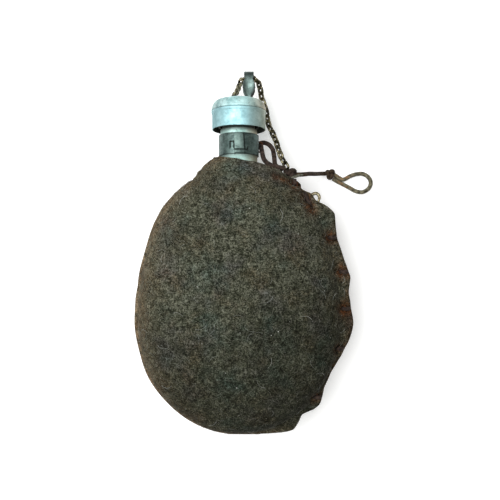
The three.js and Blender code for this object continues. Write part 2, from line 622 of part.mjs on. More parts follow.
// The shackle: a foot on the rivet and an upright loop that the chain runs through.
function shackle() {
  const foot = crownTop + CLEAR;
  const top = foot + SHACKLE_HEIGHT;
  const oval = (inset) => {
    const half = SHACKLE_HALF_DEPTH - inset;
    const shape = new THREE.Shape();
    shape.moveTo(-half, foot + inset);
    shape.lineTo(half, foot + inset);
    shape.lineTo(half, top - SHACKLE_HALF_DEPTH);
    shape.absarc(0, top - SHACKLE_HALF_DEPTH, half, 0, Math.PI, false);
    return shape;
  };
  const along = (shape, length) =>
    new THREE.ExtrudeGeometry(shape, { depth: length, bevelEnabled: false, curveSegments: 7 });
  const across = (shape) => along(shape, SHACKLE_WIDTH).translate(0, 0, -SHACKLE_WIDTH / 2)
    .rotateY(Math.PI / 2).translate(SHACKLE_OFFSET, 0, 0);
  const ring = solid(across(oval(0))).subtract(solid(across(oval(SHACKLE_WALL)).scale(1.2, 1, 1)
    .translate(-0.2 * SHACKLE_OFFSET, 0, 0)));
  const leaf = new THREE.Shape();
  const wide = SHACKLE_WIDTH / 2;
  const narrow = SHACKLE_TOP_WIDTH / 2;
  const waist = SHACKLE_WAIST / 2;
  const stem = SHACKLE_FOOT_WIDTH / 2;
  const flank = 0.78 * wide;
  const stemTop = foot + 0.11 * SHACKLE_HEIGHT;
  const flankLevel = foot + 0.24 * SHACKLE_HEIGHT;
  const bulge = foot + 0.41 * SHACKLE_HEIGHT;
  const neck = foot + 0.69 * SHACKLE_HEIGHT;
  const bar = foot + 0.76 * SHACKLE_HEIGHT;
  leaf.moveTo(-stem, foot);
  leaf.lineTo(stem, foot);
  leaf.lineTo(stem, stemTop);
  leaf.quadraticCurveTo(flank, flankLevel, wide, bulge);
  leaf.quadraticCurveTo(wide, foot + 0.6 * SHACKLE_HEIGHT, waist, neck);
  leaf.lineTo(narrow, bar);
  leaf.lineTo(narrow, top + CLEAR);
  leaf.lineTo(-narrow, top + CLEAR);
  leaf.lineTo(-narrow, bar);
  leaf.lineTo(-waist, neck);
  leaf.quadraticCurveTo(-wide, foot + 0.6 * SHACKLE_HEIGHT, -wide, bulge);
  leaf.quadraticCurveTo(-flank, flankLevel, -stem, stemTop);
  const outline = along(leaf, 4 * SHACKLE_HALF_DEPTH)
    .translate(SHACKLE_OFFSET, 0, -2 * SHACKLE_HALF_DEPTH);
  const plate = block(
    -SHACKLE_FOOT_END, SHACKLE_OFFSET, foot, foot + SHACKLE_WALL, -SHACKLE_WIDTH / 2, SHACKLE_WIDTH / 2,
  );
  const hole = rod(RIVET_RADIUS + CLEAR, foot - 1, foot + SHACKLE_WALL + 1, 16);
  return geometryOf(ring.intersect(solid(outline)).add(solid(plate)).subtract(solid(hole)));
}

// The rivet that the shackle swivels on, headed under the crown and over the foot.
function shackleRivet() {
  const underHead = crownInside - CLEAR;
  const overFoot = crownTop + 2 * CLEAR + SHACKLE_WALL;
  const shank = solid(rod(RIVET_RADIUS, underHead - RIVET_HEAD, overFoot + RIVET_HEAD, 16));
  const inner = solid(rod(RIVET_INNER_HEAD_RADIUS, underHead - RIVET_HEAD, underHead, 16));
  const outer = solid(rod(RIVET_OUTER_HEAD_RADIUS, overFoot, overFoot + RIVET_HEAD, 16));
  return geometryOf(shank.add(inner).add(outer));
}

// The chain's route: knot, past the cap's side, through the shackle, and down to what the canteen lies on.
const tunnel = vec(
  SHACKLE_OFFSET, crownTop + CLEAR + SHACKLE_HEIGHT - SHACKLE_WALL - LINK_WIDTH / 2 - 2 * CLEAR,
  -SHACKLE_HALF_DEPTH + SHACKLE_WALL + LINK_WIDTH / 2 + CLEAR,
);
const floorLink = -axisHeight + LINK_WIDTH / 2;
const chainSide = CAP_RADIUS + LINK_WIDTH / 2 + CHAIN_STANDOFF;
const chainRoute = new THREE.CatmullRomCurve3([
  shifted(shoulderKnot, -2.4, KNOT.y + 0.9, -0.4),
  shifted(shoulderKnot, -5.9, KNOT.y + 7.8, -2.6),
  shifted(shoulderKnot, -9.6, KNOT.y + 19.8, -6.4),
  beside(chainSide, (seamY + rimY) / 2, -0.39),
  beside(chainSide, crownTop - 3, -0.55),
  beside(chainSide - 2.4, crownTop + 5.5, -0.63),
  shifted(tunnel, 7.5, -4.5, -6.2),
  shifted(tunnel, 5.6, -1.3, -1.6),
  shifted(tunnel, 2.6, 0, 0),
  shifted(tunnel, -2.6, 0, 0),
  shifted(tunnel, -5.8, -0.8, -1.5),
  shifted(tunnel, -7.6, -1.9, -6.1),
  shifted(tunnel, -8.4, -3, -15),
  shifted(tunnel, -9.8, -3.6, -22.8),
  vec(tunnel.x - 11.2, tunnel.y - 5.4, floorLink + 1.7),
  vec(tunnel.x - 12.6, tunnel.y - 9, floorLink + 0.1),
  vec(tunnel.x - 13.6, tunnel.y - 13, floorLink),
], false, "centripetal");

const chainFrames = chainRoute.computeFrenetFrames(2 * CHAIN_LINKS, false);

// A link: a ring drawn out along X, turned an eighth of a turn to either side by turns.
function chainLink(index) {
  const pitch = chainRoute.getLength() / CHAIN_LINKS;
  const bend = (LINK_WIDTH - LINK_WIRE) / 2;
  const stretch = (pitch + LINK_WIRE + LINK_GAP) / 2 - bend;
  const around = 8;
  const ring = new THREE.TorusGeometry(bend, LINK_WIRE / 2, 5, around).rotateZ(Math.PI / around);
  const position = ring.getAttribute("position");
  for (let i = 0; i < position.count; i++) {
    const x = position.getX(i);
    position.setX(i, x + Math.sign(x) * stretch);
  }
  const middle = 2 * index + 1;
  const along = chainFrames.tangents[middle];
  const basis = new THREE.Matrix4().makeBasis(along, chainFrames.normals[middle], chainFrames.binormals[middle]);
  const turn = new THREE.Matrix4().makeRotationX((index % 2 ? 1 : -1) * (Math.PI / 4));
  ring.applyMatrix4(basis.multiply(turn));
  const centre = chainRoute.getPointAt(middle / (2 * CHAIN_LINKS));
  return ring.translate(centre.x, centre.y, centre.z);
}

// The ring that keeps the chain's free end from slipping through the shackle.
function chainEndRing() {
  const end = chainRoute.getPointAt(1);
  const reach = END_RING_RADIUS - (LINK_WIRE + LINK_GAP) / 2 - 2 * CLEAR;
  const rise = (LINK_WIDTH - LINK_WIRE) / 2 - CLEAR / 2;
  const tip = Math.asin(rise / (2 * END_RING_RADIUS));
  return new THREE.TorusGeometry(END_RING_RADIUS, LINK_WIRE / 2, 6, 16)
    .rotateX(tip).translate(end.x - CLEAR / 3, end.y - reach, floorLink - rise / 2);
}

// The tail: from the knot down to what the canteen lies on.
const tailKnot = vec(64.4, 99.4, TAIL_KNOT.z + 0.2 - axisHeight);
const tailRoute = [
  shifted(shoulderKnot, KNOT.x + CLEAR + 0.1, -0.8, -1), shifted(shoulderKnot, 8, -0.7, -1.3),
  shifted(tailKnot, -17.6, -3.1, 24.4), shifted(tailKnot, -13, -2, 15.9), shifted(tailKnot, -9.4, -0.9, 7.9),
  shifted(tailKnot, -6.8, -0.2, 3.3), shifted(tailKnot, -TAIL_KNOT.x - 2 * CLEAR, 0.2, 0.7),
];

// The hanging loop: both strands leave the knot side by side.
const loopZ = LOOP_CORD / 2 + 0.2 - axisHeight;
const hangLoopRoute = [
  [4.2, -1], [6.5, -2.5], [9.2, -3.8], [11.4, -3.1], [14.3, -1.4], [19, 0.1], [23.5, 0.3], [27.7, -2.2],
  [29.3, -6.1], [27.7, -10.2], [23.2, -12.7], [18.4, -12], [14.9, -10.1], [8.3, -6.6], [5.3, -5.1], [4, -4.4],
].map(([x, y]) => vec(tailKnot.x + x, tailKnot.y + y, loopZ));

// A bent wire that stands out of the laced lip between two lobes.
function wireEye() {
  const root = vec(lacedEdge(EYE_RISE), lipLevel(EYE_RISE), 0);
  const route = [
    shifted(root, CLEAR + 0.1, 0.2, 0), shifted(root, 2.2, 0.9, 0), shifted(root, 3.9, 0.1, 0),
    shifted(root, 4.7, -1.6, 0), shifted(root, 4.4, -3.2, 0),
  ];
  return tube(route, EYE_WIRE, 12, 6);
}

place("bottle", bottle(), aluminium);
place("front_felt", feltPanel(1), felt);
place("back_felt", feltPanel(-1), felt);
eyelets.forEach((at, i) => place(`lace_eyelet_${i + 1}`, eyelet(at), rustySteel));
place("side_lace", tube(sideLaceRoute(), LACE, 110), darkLeather);
const laceEnd = sideLaceRoute().at(-1);
const stopKnot = shifted(laceEnd, -STOP_KNOT * 0.75, -STOP_KNOT * 0.85, -0.2);
place("lace_stop_knot", ellipsoid(stopKnot, vec(STOP_KNOT, STOP_KNOT, STOP_KNOT)), darkLeather);
place("neck_band", neckBand(), darkSteel);
place("band_staple", bandStaple(), darkSteel);
place("neck_lace", tube(neckLaceRoute(), LACE, 44), darkLeather);
place("shoulder_knot", ellipsoid(shoulderKnot, KNOT), darkLeather);
place("cap_skirt", capSkirt(), aluminium);
place("cap_crown", capCrown(), aluminium);
place("cap_bush", capBush(), aluminium);
place("cap_gasket", capGasket(), blackRubber);
place("cap_shackle", shackle(), darkSteel);
place("shackle_rivet", shackleRivet(), darkSteel);
for (let i = 0; i < CHAIN_LINKS; i++)
  place(`chain_link_${String(i + 1).padStart(2, "0")}`, chainLink(i), chainSteel);
place("chain_end_ring", chainEndRing(), chainSteel);
place("lace_tail", tube(tailRoute, TAIL_LACE, 14), darkLeather);
place("tail_knot", ellipsoid(tailKnot, TAIL_KNOT), darkLeather);
place("hang_loop", tube(hangLoopRoute, LOOP_CORD, 30), oliveCord);
place("wire_eye", wireEye(), brassWire);

export default canteen;
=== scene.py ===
# A field canteen lying on its back: an aluminium flask in a laced wool cover, its screw cap on a chain.
import math

import bmesh
import bpy
import numpy as np
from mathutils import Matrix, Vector, noise


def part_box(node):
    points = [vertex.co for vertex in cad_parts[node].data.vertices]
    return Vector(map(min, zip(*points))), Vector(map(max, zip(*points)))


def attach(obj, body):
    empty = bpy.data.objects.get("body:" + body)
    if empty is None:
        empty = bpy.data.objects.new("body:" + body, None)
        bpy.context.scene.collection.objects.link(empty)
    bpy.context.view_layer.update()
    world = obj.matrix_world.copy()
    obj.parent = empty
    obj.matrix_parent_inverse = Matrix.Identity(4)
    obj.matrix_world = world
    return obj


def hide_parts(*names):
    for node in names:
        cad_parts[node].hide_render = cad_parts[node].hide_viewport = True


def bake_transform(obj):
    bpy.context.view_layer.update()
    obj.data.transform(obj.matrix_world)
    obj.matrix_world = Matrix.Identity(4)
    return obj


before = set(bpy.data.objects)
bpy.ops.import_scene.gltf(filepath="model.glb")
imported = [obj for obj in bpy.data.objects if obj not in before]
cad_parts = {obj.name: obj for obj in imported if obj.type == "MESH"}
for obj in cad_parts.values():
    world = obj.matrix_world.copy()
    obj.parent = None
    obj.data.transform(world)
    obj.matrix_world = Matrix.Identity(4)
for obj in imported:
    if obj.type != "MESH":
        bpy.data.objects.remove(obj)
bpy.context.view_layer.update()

scene = bpy.context.scene

# Viewpoint: straight above the canteen, a little to the laced side of its neck, about 0.4 m up.
# The neck points to the top of the picture.
FOCAL_LENGTH_MM = 41.76
SENSOR_WIDTH_MM = 36.0
VIEW_FROM = (0.0074, 0.0453, 0.4163)
view_data = bpy.data.cameras.new("viewpoint")
view_data.sensor_width = SENSOR_WIDTH_MM
view_data.lens = FOCAL_LENGTH_MM
viewpoint = bpy.data.objects.new("viewpoint", view_data)
viewpoint.location = VIEW_FROM
scene.collection.objects.link(viewpoint)
scene.camera = viewpoint
scene.view_settings.view_transform = "Standard"

# Flask: one drawn aluminium bottle, flat and oval, with a round neck that carries the cap's thread.
# It is worn dull and shows only between the cover's collar and the cap. Sizes are millimetres from
# the neck's axis, across, along and up, and turn into metres in the shared frame when a piece is made.
MILLIMETRE = 0.001
METRE = 1000
AXIS_HEIGHT = (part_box("cap_crown")[0].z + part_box("cap_crown")[1].z) / 2
FLASK_HALF_WIDTH = 62.0
FLASK_HALF_DEPTH = 30.0
FLASK_BELOW = 69.0
FLASK_ABOVE = 101.4
FLASK_FULLNESS = 2.3
FLASK_DEPTH_FULLNESS = 2.5
FLASK_SIDES = 96
FLASK_RINGS = 44
FLASK_WALL = 1.4
SHOULDER_FILLET = 6.0
SHOULDER_PINCH = 0.13
PINCH_ONSET = 8
NECK_RADIUS = 12.3
NECK_LEVELS = (103.4, 110.0, 115.0, 120.0)
WAIST_RADIUS = 12.1
WAIST_FOOT = 121.1
WAIST_TOP = 124.6
WAIST_STEP = 0.5
THREAD_FOOT = 125.0
THREAD_ROOT = 10.6
THREAD_CREST = 11.9
THREAD_START = 129.8
THREAD_PITCH = 3.0
THREAD_TURNS = 1.5
THREAD_HALF_WIDTH = 0.75
THREAD_FLANK = 0.4
THREAD_STEP = 0.2
ROOT_TOLERANCE = 0.05
MOUTH_RADIUS = 9.2
MOUTH_FOOT = 128.0
BORE_TOP = 118.0
LIP_LEVEL = 136.5
LIP_EASE = 0.5
# Levels between which the neck is darkened under the band with tarnish and painted shade, and over which painted
# shade from the cap darkens it
UNDER_BAND = (107.3, 120.1)
UNDER_CAP = (121.6, 124.8)
CAP_SHADE = 0.85


def in_frame(points):
    return np.asarray(points, float) * MILLIMETRE + np.array((0, 0, AXIS_HEIGHT))


def loft(rings, joined=False):
    """Quads over a row of closed loops. joined: the last loop meets the first; else the ends are closed."""
    rows, count, _ = rings.shape
    points = list(rings.reshape(-1, 3))
    faces = []
    for j in range(rows if joined else rows - 1):
        a, b = j * count, ((j + 1) % rows) * count
        faces += [(a + i, a + (i + 1) % count, b + (i + 1) % count, b + i) for i in range(count)]
    for row in () if joined else (0, rows - 1):
        points.append(rings[row].mean(axis=0))
        faces += [(len(points) - 1, row * count + i, row * count + (i + 1) % count) for i in range(count)]
    return points, faces


def make_piece(name, shape, material, crease=None, **fields):
    """A mesh in the shared frame from points and faces. fields are values at each point for its material."""
    points, faces = shape
    mesh = bpy.data.meshes.new(name)
    mesh.from_pydata(in_frame(points).tolist(), [], faces)
    for field, values in fields.items():
        filled = np.zeros(len(points), np.float32)
        filled[:len(values)] = values
        mesh.attributes.new(field, "FLOAT", "POINT").data.foreach_set("value", filled)
    tidy = bmesh.new()
    tidy.from_mesh(mesh)
    bmesh.ops.remove_doubles(tidy, verts=tidy.verts, dist=1e-7)
    bmesh.ops.recalc_face_normals(tidy, faces=tidy.faces)
    tidy.to_mesh(mesh)
    tidy.free()
    mesh.polygons.foreach_set("use_smooth", [True] * len(mesh.polygons))
    if crease:
        mesh.set_sharp_from_angle(angle=math.radians(crease))
    mesh.materials.append(material)
    piece = bpy.data.objects.new(name, mesh)
    scene.collection.objects.link(piece)
    return piece


def belongs(piece, body, slot, *nodes):
    """Says which body a piece rides on and hides the solids that it stands for, if any. slot: not used."""
    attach(piece, body)
    if nodes:
        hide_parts(*nodes)


def colour(red, green, blue):
    """A colour as it shows on a screen, 0 to 255, in the renderer's linear values."""
    shown = np.array((red, green, blue)) / 255
    return (*np.where(shown <= 0.04045, shown / 12.92, ((shown + 0.055) / 1.055) ** 2.4), 1.0)


def surface(name, roughness, metallic=0.0):
    material = bpy.data.materials.new(name)
    material.use_nodes = True
    shader = material.node_tree.nodes["Principled BSDF"]
    shader.inputs["Roughness"].default_value = roughness
    shader.inputs["Metallic"].default_value = metallic
    return material, material.node_tree, shader


def feed(tree, socket, value):
    """Links another node's output to a socket, or sets the socket to a plain value."""
    if isinstance(value, bpy.types.NodeSocket):
        tree.links.new(value, socket)
    else:
        socket.default_value = value


def add(tree, kind, settings=(), **inputs):
    """A node with its settings and inputs; an input's name has _ for each space."""
    node = tree.nodes.new(kind)
    for key, value in dict(settings).items():
        setattr(node, key, value)
    for key, value in inputs.items():
        feed(tree, node.inputs[key.replace("_", " ")], value)
    return node


def grain(tree, size, detail=3.0, roughness=0.55, stretch=(1, 1, 1), turn=(0, 0, 0), curl=0.0):
    """Noise whose spots are about size millimetres across, drawn out by stretch after a turn, and curled."""
    place = add(tree, "ShaderNodeTexCoord").outputs["Object"]
    scaled = tuple(1.0 / s for s in stretch)
    place = add(tree, "ShaderNodeMapping", Vector=place, Rotation=turn).outputs["Vector"]
    place = add(tree, "ShaderNodeMapping", Vector=place, Scale=scaled).outputs["Vector"]
    return add(tree, "ShaderNodeTexNoise", Vector=place, Scale=METRE / size, Detail=detail,
               Roughness=roughness, Distortion=curl).outputs["Fac"]


def ramp(tree, share, *stops):
    node = add(tree, "ShaderNodeValToRGB", Fac=share)
    elements = node.color_ramp.elements
    while len(elements) < len(stops):
        elements.new(0.5)
    for element, (at, shade) in zip(elements, stops):
        element.position = at
        element.color = shade if isinstance(shade, tuple) else (shade, shade, shade, 1)
    return node.outputs["Color"]


def mix(tree, share, first, second, how="MIX"):
    node = add(tree, "ShaderNodeMix", {"data_type": "RGBA", "blend_type": how})
    for index, value in ((0, share), (6, first), (7, second)):
        feed(tree, node.inputs[index], value)
    return node.outputs[2]


def tinted(tree, shade, tint):
    return mix(tree, 1.0, shade, tint, "MULTIPLY")


def field(tree, name):
    return add(tree, "ShaderNodeAttribute", {"attribute_name": name}).outputs["Fac"]


def finish(tree, shader, shade, height=None, depth_mm=0.1, roughness=None):
    tree.links.new(shade, shader.inputs["Base Color"])
    if roughness is not None:
        tree.links.new(roughness, shader.inputs["Roughness"])
    if height is not None:
        relief = add(tree, "ShaderNodeBump", Height=height, Distance=depth_mm * MILLIMETRE, Strength=1.0)
        tree.links.new(relief.outputs["Normal"], shader.inputs["Normal"])


def shoulder_pinch(rise):
    return 1 - SHOULDER_PINCH * max(0, rise) ** PINCH_ONSET


def flask_section(rise, grown):
    """Level, half-width, half-depth and fullness of the flask at a share of its height, grown all round."""
    def joined(a, b):
        return (a + b + math.hypot(a - b, SHOULDER_FILLET)) / 2
    reach = (FLASK_BELOW if rise < 0 else FLASK_ABOVE) + grown
    neck = (NECK_RADIUS + grown) * max(0, rise) ** 2
    wide = (FLASK_HALF_WIDTH + grown) * math.sqrt(max(0, 1 - rise * rise)) * shoulder_pinch(rise)
    side = max(0, 1 - abs(rise) ** FLASK_DEPTH_FULLNESS)
    deep = (FLASK_HALF_DEPTH + grown) * side ** (1 / FLASK_DEPTH_FULLNESS)
    power = FLASK_FULLNESS - (FLASK_FULLNESS - 2) * max(0, rise) ** 4
    return reach * rise, joined(wide, neck), joined(deep, neck), power


def section_points(section, angles):
    y, width, depth, power = section
    def full(v):
        return np.sign(v) * np.abs(v) ** (2 / power)
    across = width * full(np.cos(angles))
    return np.stack([across, np.full_like(across, y), depth * full(np.sin(angles))], axis=1)


def flask_shape():
    """The flask's skin: up the outside, over the thread and the lip, and down the inside."""
    angles = np.linspace(0, 2 * math.pi, FLASK_SIDES, endpoint=False)
    rises = np.sin(np.linspace(-math.pi / 2, math.pi / 2, FLASK_RINGS))
    bore = NECK_RADIUS - FLASK_WALL
    neck = [(y, NECK_RADIUS) for y in NECK_LEVELS]
    neck += [(y, WAIST_RADIUS) for y in np.arange(WAIST_FOOT, WAIST_TOP, WAIST_STEP)]
    neck += [(y, THREAD_ROOT) for y in np.arange(THREAD_FOOT, LIP_LEVEL - LIP_EASE, THREAD_STEP)]
    neck += [(LIP_LEVEL - 0.3 * LIP_EASE, THREAD_ROOT - 0.3 * LIP_EASE), (LIP_LEVEL, THREAD_ROOT - LIP_EASE),
             (LIP_LEVEL, MOUTH_RADIUS + LIP_EASE), (LIP_LEVEL - 0.8 * LIP_EASE, MOUTH_RADIUS),
             (MOUTH_FOOT, MOUTH_RADIUS), (BORE_TOP, bore), (FLASK_ABOVE, bore)]
    sections = [flask_section(rise, 0) for rise in rises]
    sections += [(y, radius, radius, 2) for y, radius in neck]
    sections += [flask_section(rise, -FLASK_WALL) for rise in rises[::-1]]
    rings = np.array([section_points(section, angles) for section in sections])
    x, y, z = np.moveaxis(rings, -1, 0)
    turn = np.arctan2(x, z) % (2 * math.pi) / (2 * math.pi)
    for lap in range(math.ceil(THREAD_TURNS)):
        climb = THREAD_START + THREAD_PITCH * (turn + lap)
        ridge = np.clip((THREAD_HALF_WIDTH - np.abs(y - climb)) / THREAD_FLANK, 0, 1)
        ridge *= np.abs(np.hypot(x, z) - THREAD_ROOT) < ROOT_TOLERANCE
        ridge *= turn + lap <= THREAD_TURNS
        grown = 1 + ridge * (THREAD_CREST / THREAD_ROOT - 1)
        x *= grown
        z *= grown
    return loft(rings)


FLASK_BRIGHT = colour(220, 247, 242)
FLASK_DULL = colour(188, 220, 214)
METAL_DIRT = colour(104, 116, 112)
METAL_SHADE_AND_TARNISH = colour(58, 62, 52)
# Painted shade and reflection on the round metal, from its left side to its right: darker on both sides and warm
# on the right
SIDE_SHADE_AND_REFLECTION = (0.06, (0.72, 0.7, 0.7, 1)), (0.34, 1.0), (0.64, 1.0), (0.95, (0.78, 0.56, 0.46, 1))


def aluminium_look(name, bright, dull, roughness, scratch, dirty):
    """Worn bare aluminium: cloudy and scratched all round, with painted shade and reflection on both sides and
    painted shade with tarnish inside.
    """
    material, tree, shader = surface(name, roughness, 1.0)
    clouds = grain(tree, 6, 4, 0.6)
    shade = ramp(tree, clouds, (0.3, dull), (0.62, bright))
    # Dirt in random spots; no painted shade here
    dirt = ramp(tree, grain(tree, 1.6, 5, 0.75), (0.33, dirty), (0.45, 0.0))
    shade = mix(tree, dirt, shade, METAL_DIRT)
    # Painted shade and reflection, by the place of each point from left to right
    shade = tinted(tree, shade, ramp(tree, field(tree, "aside"), *SIDE_SHADE_AND_REFLECTION))
    # Painted shade with tarnish inside the cap and under the band, and painted shade under the cap's rim
    shade = mix(tree, field(tree, "inside"), shade, METAL_SHADE_AND_TARNISH)
    lines = grain(tree, 0.25, 2, 0.6, (18, 1, 18))
    spots = grain(tree, 0.5, 3, 0.6)
    rough = ramp(tree, clouds, (0.3, min(1, roughness + 0.14)), (0.7, roughness - 0.05))
    finish(tree, shader, shade, mix(tree, 0.4, lines, spots), scratch, rough)
    return material


flask_metal = aluminium_look("flask_aluminium", FLASK_BRIGHT, FLASK_DULL,
                             roughness=0.74, scratch=0.02, dirty=0.7)
flask_skin = flask_shape()
across, level, _ = np.array(flask_skin[0]).T
# Painted shade: tarnish and shade under the band, shade under the cap's rim, and the place from left to right
# for the sides' painted shade and reflection
banded = (level > UNDER_BAND[0]) & (level < UNDER_BAND[1])
capped = np.clip((level - UNDER_CAP[0]) / (UNDER_CAP[1] - UNDER_CAP[0]), 0, CAP_SHADE)
flask = make_piece("flask", flask_skin, flask_metal, crease=40, inside=np.where(banded, 1.0, capped),
                   aside=0.5 + 0.5 * np.clip(across / NECK_RADIUS, -1, 1))
belongs(flask, "bottle", "aluminium", "bottle")

# Cover: two panels of thick dark olive wool felt, pressed to the flask's shape. A flat lip runs round
# them; it is closed on the left and below, and laced in lobes on the right. The collar is cut aslant.
FELT = 3.0
LEAST_FELT = 1.6
LEAST_LIP = 2.2
COVER_GAP = 0.6
GROUND_GAP = 0.25
SEAM_LIP = 3.0
SEAM_LIP_TOP = 0.6
LIP_GAP = 0.4
LIP_TOP = FELT + LIP_GAP / 2
LIP_FILLET = 2.4
LIP_SINK = 0.3
LIP_FALL = 1.4
LIP_SLOPE = 0.5
LIP_SWELL = 6.0
LIP_SWELL_END = 0.8
LIP_SWELL_FADE = 0.1
LIP_QUIET = 0.35
LIP_HALF_WIDTH = FLASK_HALF_WIDTH + COVER_GAP + FELT + SEAM_LIP
LIP_BELOW = FLASK_BELOW + COVER_GAP + FELT + SEAM_LIP
LIP_ABOVE = FLASK_ABOVE + COVER_GAP + FELT + SEAM_LIP_TOP
EDGE_ROLL = 1.2
EDGE_REACH = 9.0
COLLAR_LEVEL = 103.3
COLLAR_SLOPE = 0.19
SLANT_FOOT = 94.0
COLLAR_FLARE = 0.3
FLARE_LEVEL = 102.3
FLARE_HEIGHT = 2.6
RIPPLES = 9
RIPPLE_HEIGHT = 0.4
RIPPLE_REACH = 9.0
RIPPLE_TURN = 0.6
NOTCH = (-30.0, 91.6, 0.0)
NOTCH_RISE = 0.84
NOTCH_EASE = 0.02
NOTCH_DEPTH = 3.2
NOTCH_ABOVE = 7.5
NOTCH_BELOW = 1.7
NOTCH_INWARD = (0.87, -0.5)
WOBBLE = 0.5
WOBBLE_SHORT = 7.3
WOBBLE_LONG = 19.0
# Share of the height, and how far the laced lip stands beyond the even one there
LOBES = (
    (-0.993, 6.5), (-0.985, 16), (-0.97, 18), (-0.945, 14.5), (-0.911, 10.3), (-0.876, 7), (-0.825, 2.6),
    (-0.785, 6.8), (-0.74, 6.9), (-0.67, 4.2), (-0.6, 0.9), (-0.46, -0.4), (-0.34, 1.4), (-0.25, 3.5),
    (-0.115, 6), (-0.03, 6.9), (0.066, 5.4), (0.165, 4.5), (0.264, 7.4), (0.363, 5.6), (0.49, 5.3), (0.56, 7),
    (0.661, 11.6), (0.705, 9.3), (0.735, 4.2), (0.785, 5.4), (0.834, 4.2),
)
# Level, and how far the closed lip on the left stands inside its even line there
LEFT_EDGE = (
    (14, 0), (22, 1), (48, 0), (60, -0.5), (74, -1.5), (80, -0.5), (90, 3), (92, 0.3), (97, 0.4),
    (99.5, -1.5), (101.5, -2.2), (104, -1.5), (107, 3),
)
EYELET_RISES = (0.834, 0.735, 0.505, 0.295, 0.066, -0.25, -0.668)
EYELET_INSET = 5.6
# Where the lace crosses the lip at the second eyelet, aslant, seen from above
SECOND_LACING = np.array(((46.9, 73.0), (43.5, 81.8)))
SHOULDER_DIP = 4.0
DIP_RISE = 0.808
DIP_HALF_HEIGHT = 0.022
# The felt's lumps: height, size across, and what sets one kind's places apart from another's
LUMPS = ((0.9, 34, 0), (0.45, 11, 5), (0.22, 4.5, 9))
FOLD_DEPTHS = (1.4, 1.6, 1.5, 1.4, 1.3, 1.4, 1.2)
FOLD_WIDTH = 2.0
FOLD_REACH = 11.0
FOLD_TURN = 0.0016
LACE_DENT = 2.7
DOME_POINTS = 104
LEFT_POINTS = 5
RIGHT_POINTS = 12
BOTTOM_STEPS = (0.5, 0.9, 1.4, 2.0, 2.6)
ROWS_BELOW = 62
ROWS_ABOVE = 96
# The rolled ends of a panel: share of its thickness, and how far beyond its first or last row
BOTTOM_ROLL = ((0.45, -0.45), (0.85, -0.28))
COLLAR_ROLL = ((0.85, 0.7), (0.45, 1.15))


def lip_reach(way):
    return LIP_BELOW if way < 0 else LIP_ABOVE


def lip_half_width(y):
    return LIP_HALF_WIDTH * math.sqrt(max(0, 1 - (y / lip_reach(y)) ** 2))


def laced_edge(y):
    return lip_half_width(y) + np.interp(y / lip_reach(y), *zip(*LOBES))


eyelet_levels = [rise * lip_reach(rise) for rise in EYELET_RISES]
eyelets = [np.array((laced_edge(y) - EYELET_INSET, y, 0.0)) for y in eyelet_levels]
# Where the lace crosses the lip at each eyelet, from inside to the edge
lacings = [(at[:2], at[:2] + (EYELET_INSET, 0)) for at in eyelets]
lacings[1] = SECOND_LACING


def cover_section(y, grown):
    """The flask's section under the felt at a level of the cover's outside."""
    reach = (FLASK_ABOVE if y > 0 else FLASK_BELOW) + COVER_GAP
    rise = math.copysign(max(0, abs(y) - FELT), y) / reach
    _, width, depth, power = flask_section(max(-1, min(1, rise)), COVER_GAP)
    return y, width + grown, depth + grown, power


def smooth_step(value, start, end):
    share = np.clip((value - start) / (end - start), 0, 1)
    return share * share * (3 - 2 * share)


def beside_lines(points, lines, width):
    """How near each point lies to some lines seen from above, each a start and an end: 1 on them, 0 away."""
    near = np.zeros(points.shape[:-1])
    for start, end in lines:
        start, run = np.array(start), np.array(end) - np.array(start)
        offset = points[..., :2] - start
        share = np.clip(offset @ run / (run @ run), 0, 1)
        away = np.linalg.norm(offset - share[..., None] * run, axis=-1)
        near = np.maximum(near, np.exp(-(away / width) ** 2))
    return near


def fold(points, at, inward, depth, width, reach):
    """A pinch at a lacing point: a groove with a swelling on both sides, fading as it runs inward."""
    offset = points - np.array(at)
    along = offset[..., 0] * inward[0] + offset[..., 1] * inward[1]
    beside = offset[..., 0] * inward[1] - offset[..., 1] * inward[0]
    fade = np.where(along > 0, np.exp(-along / reach), np.exp(along / (0.5 * reach)))
    spread = width * (1 + np.maximum(along, 0) / (1.6 * reach))
    groove = np.exp(-(beside / spread) ** 2)
    swell = np.exp(-((np.abs(beside) - 2.3 * spread) / (1.3 * spread)) ** 2)
    return depth * fade * (0.7 * swell - groove)


def lumps(points, size, seed):
    spots = points.reshape(-1, 3) / size + seed
    return np.array([noise.noise(Vector(spot)) for spot in spots]).reshape(points.shape[:-1])


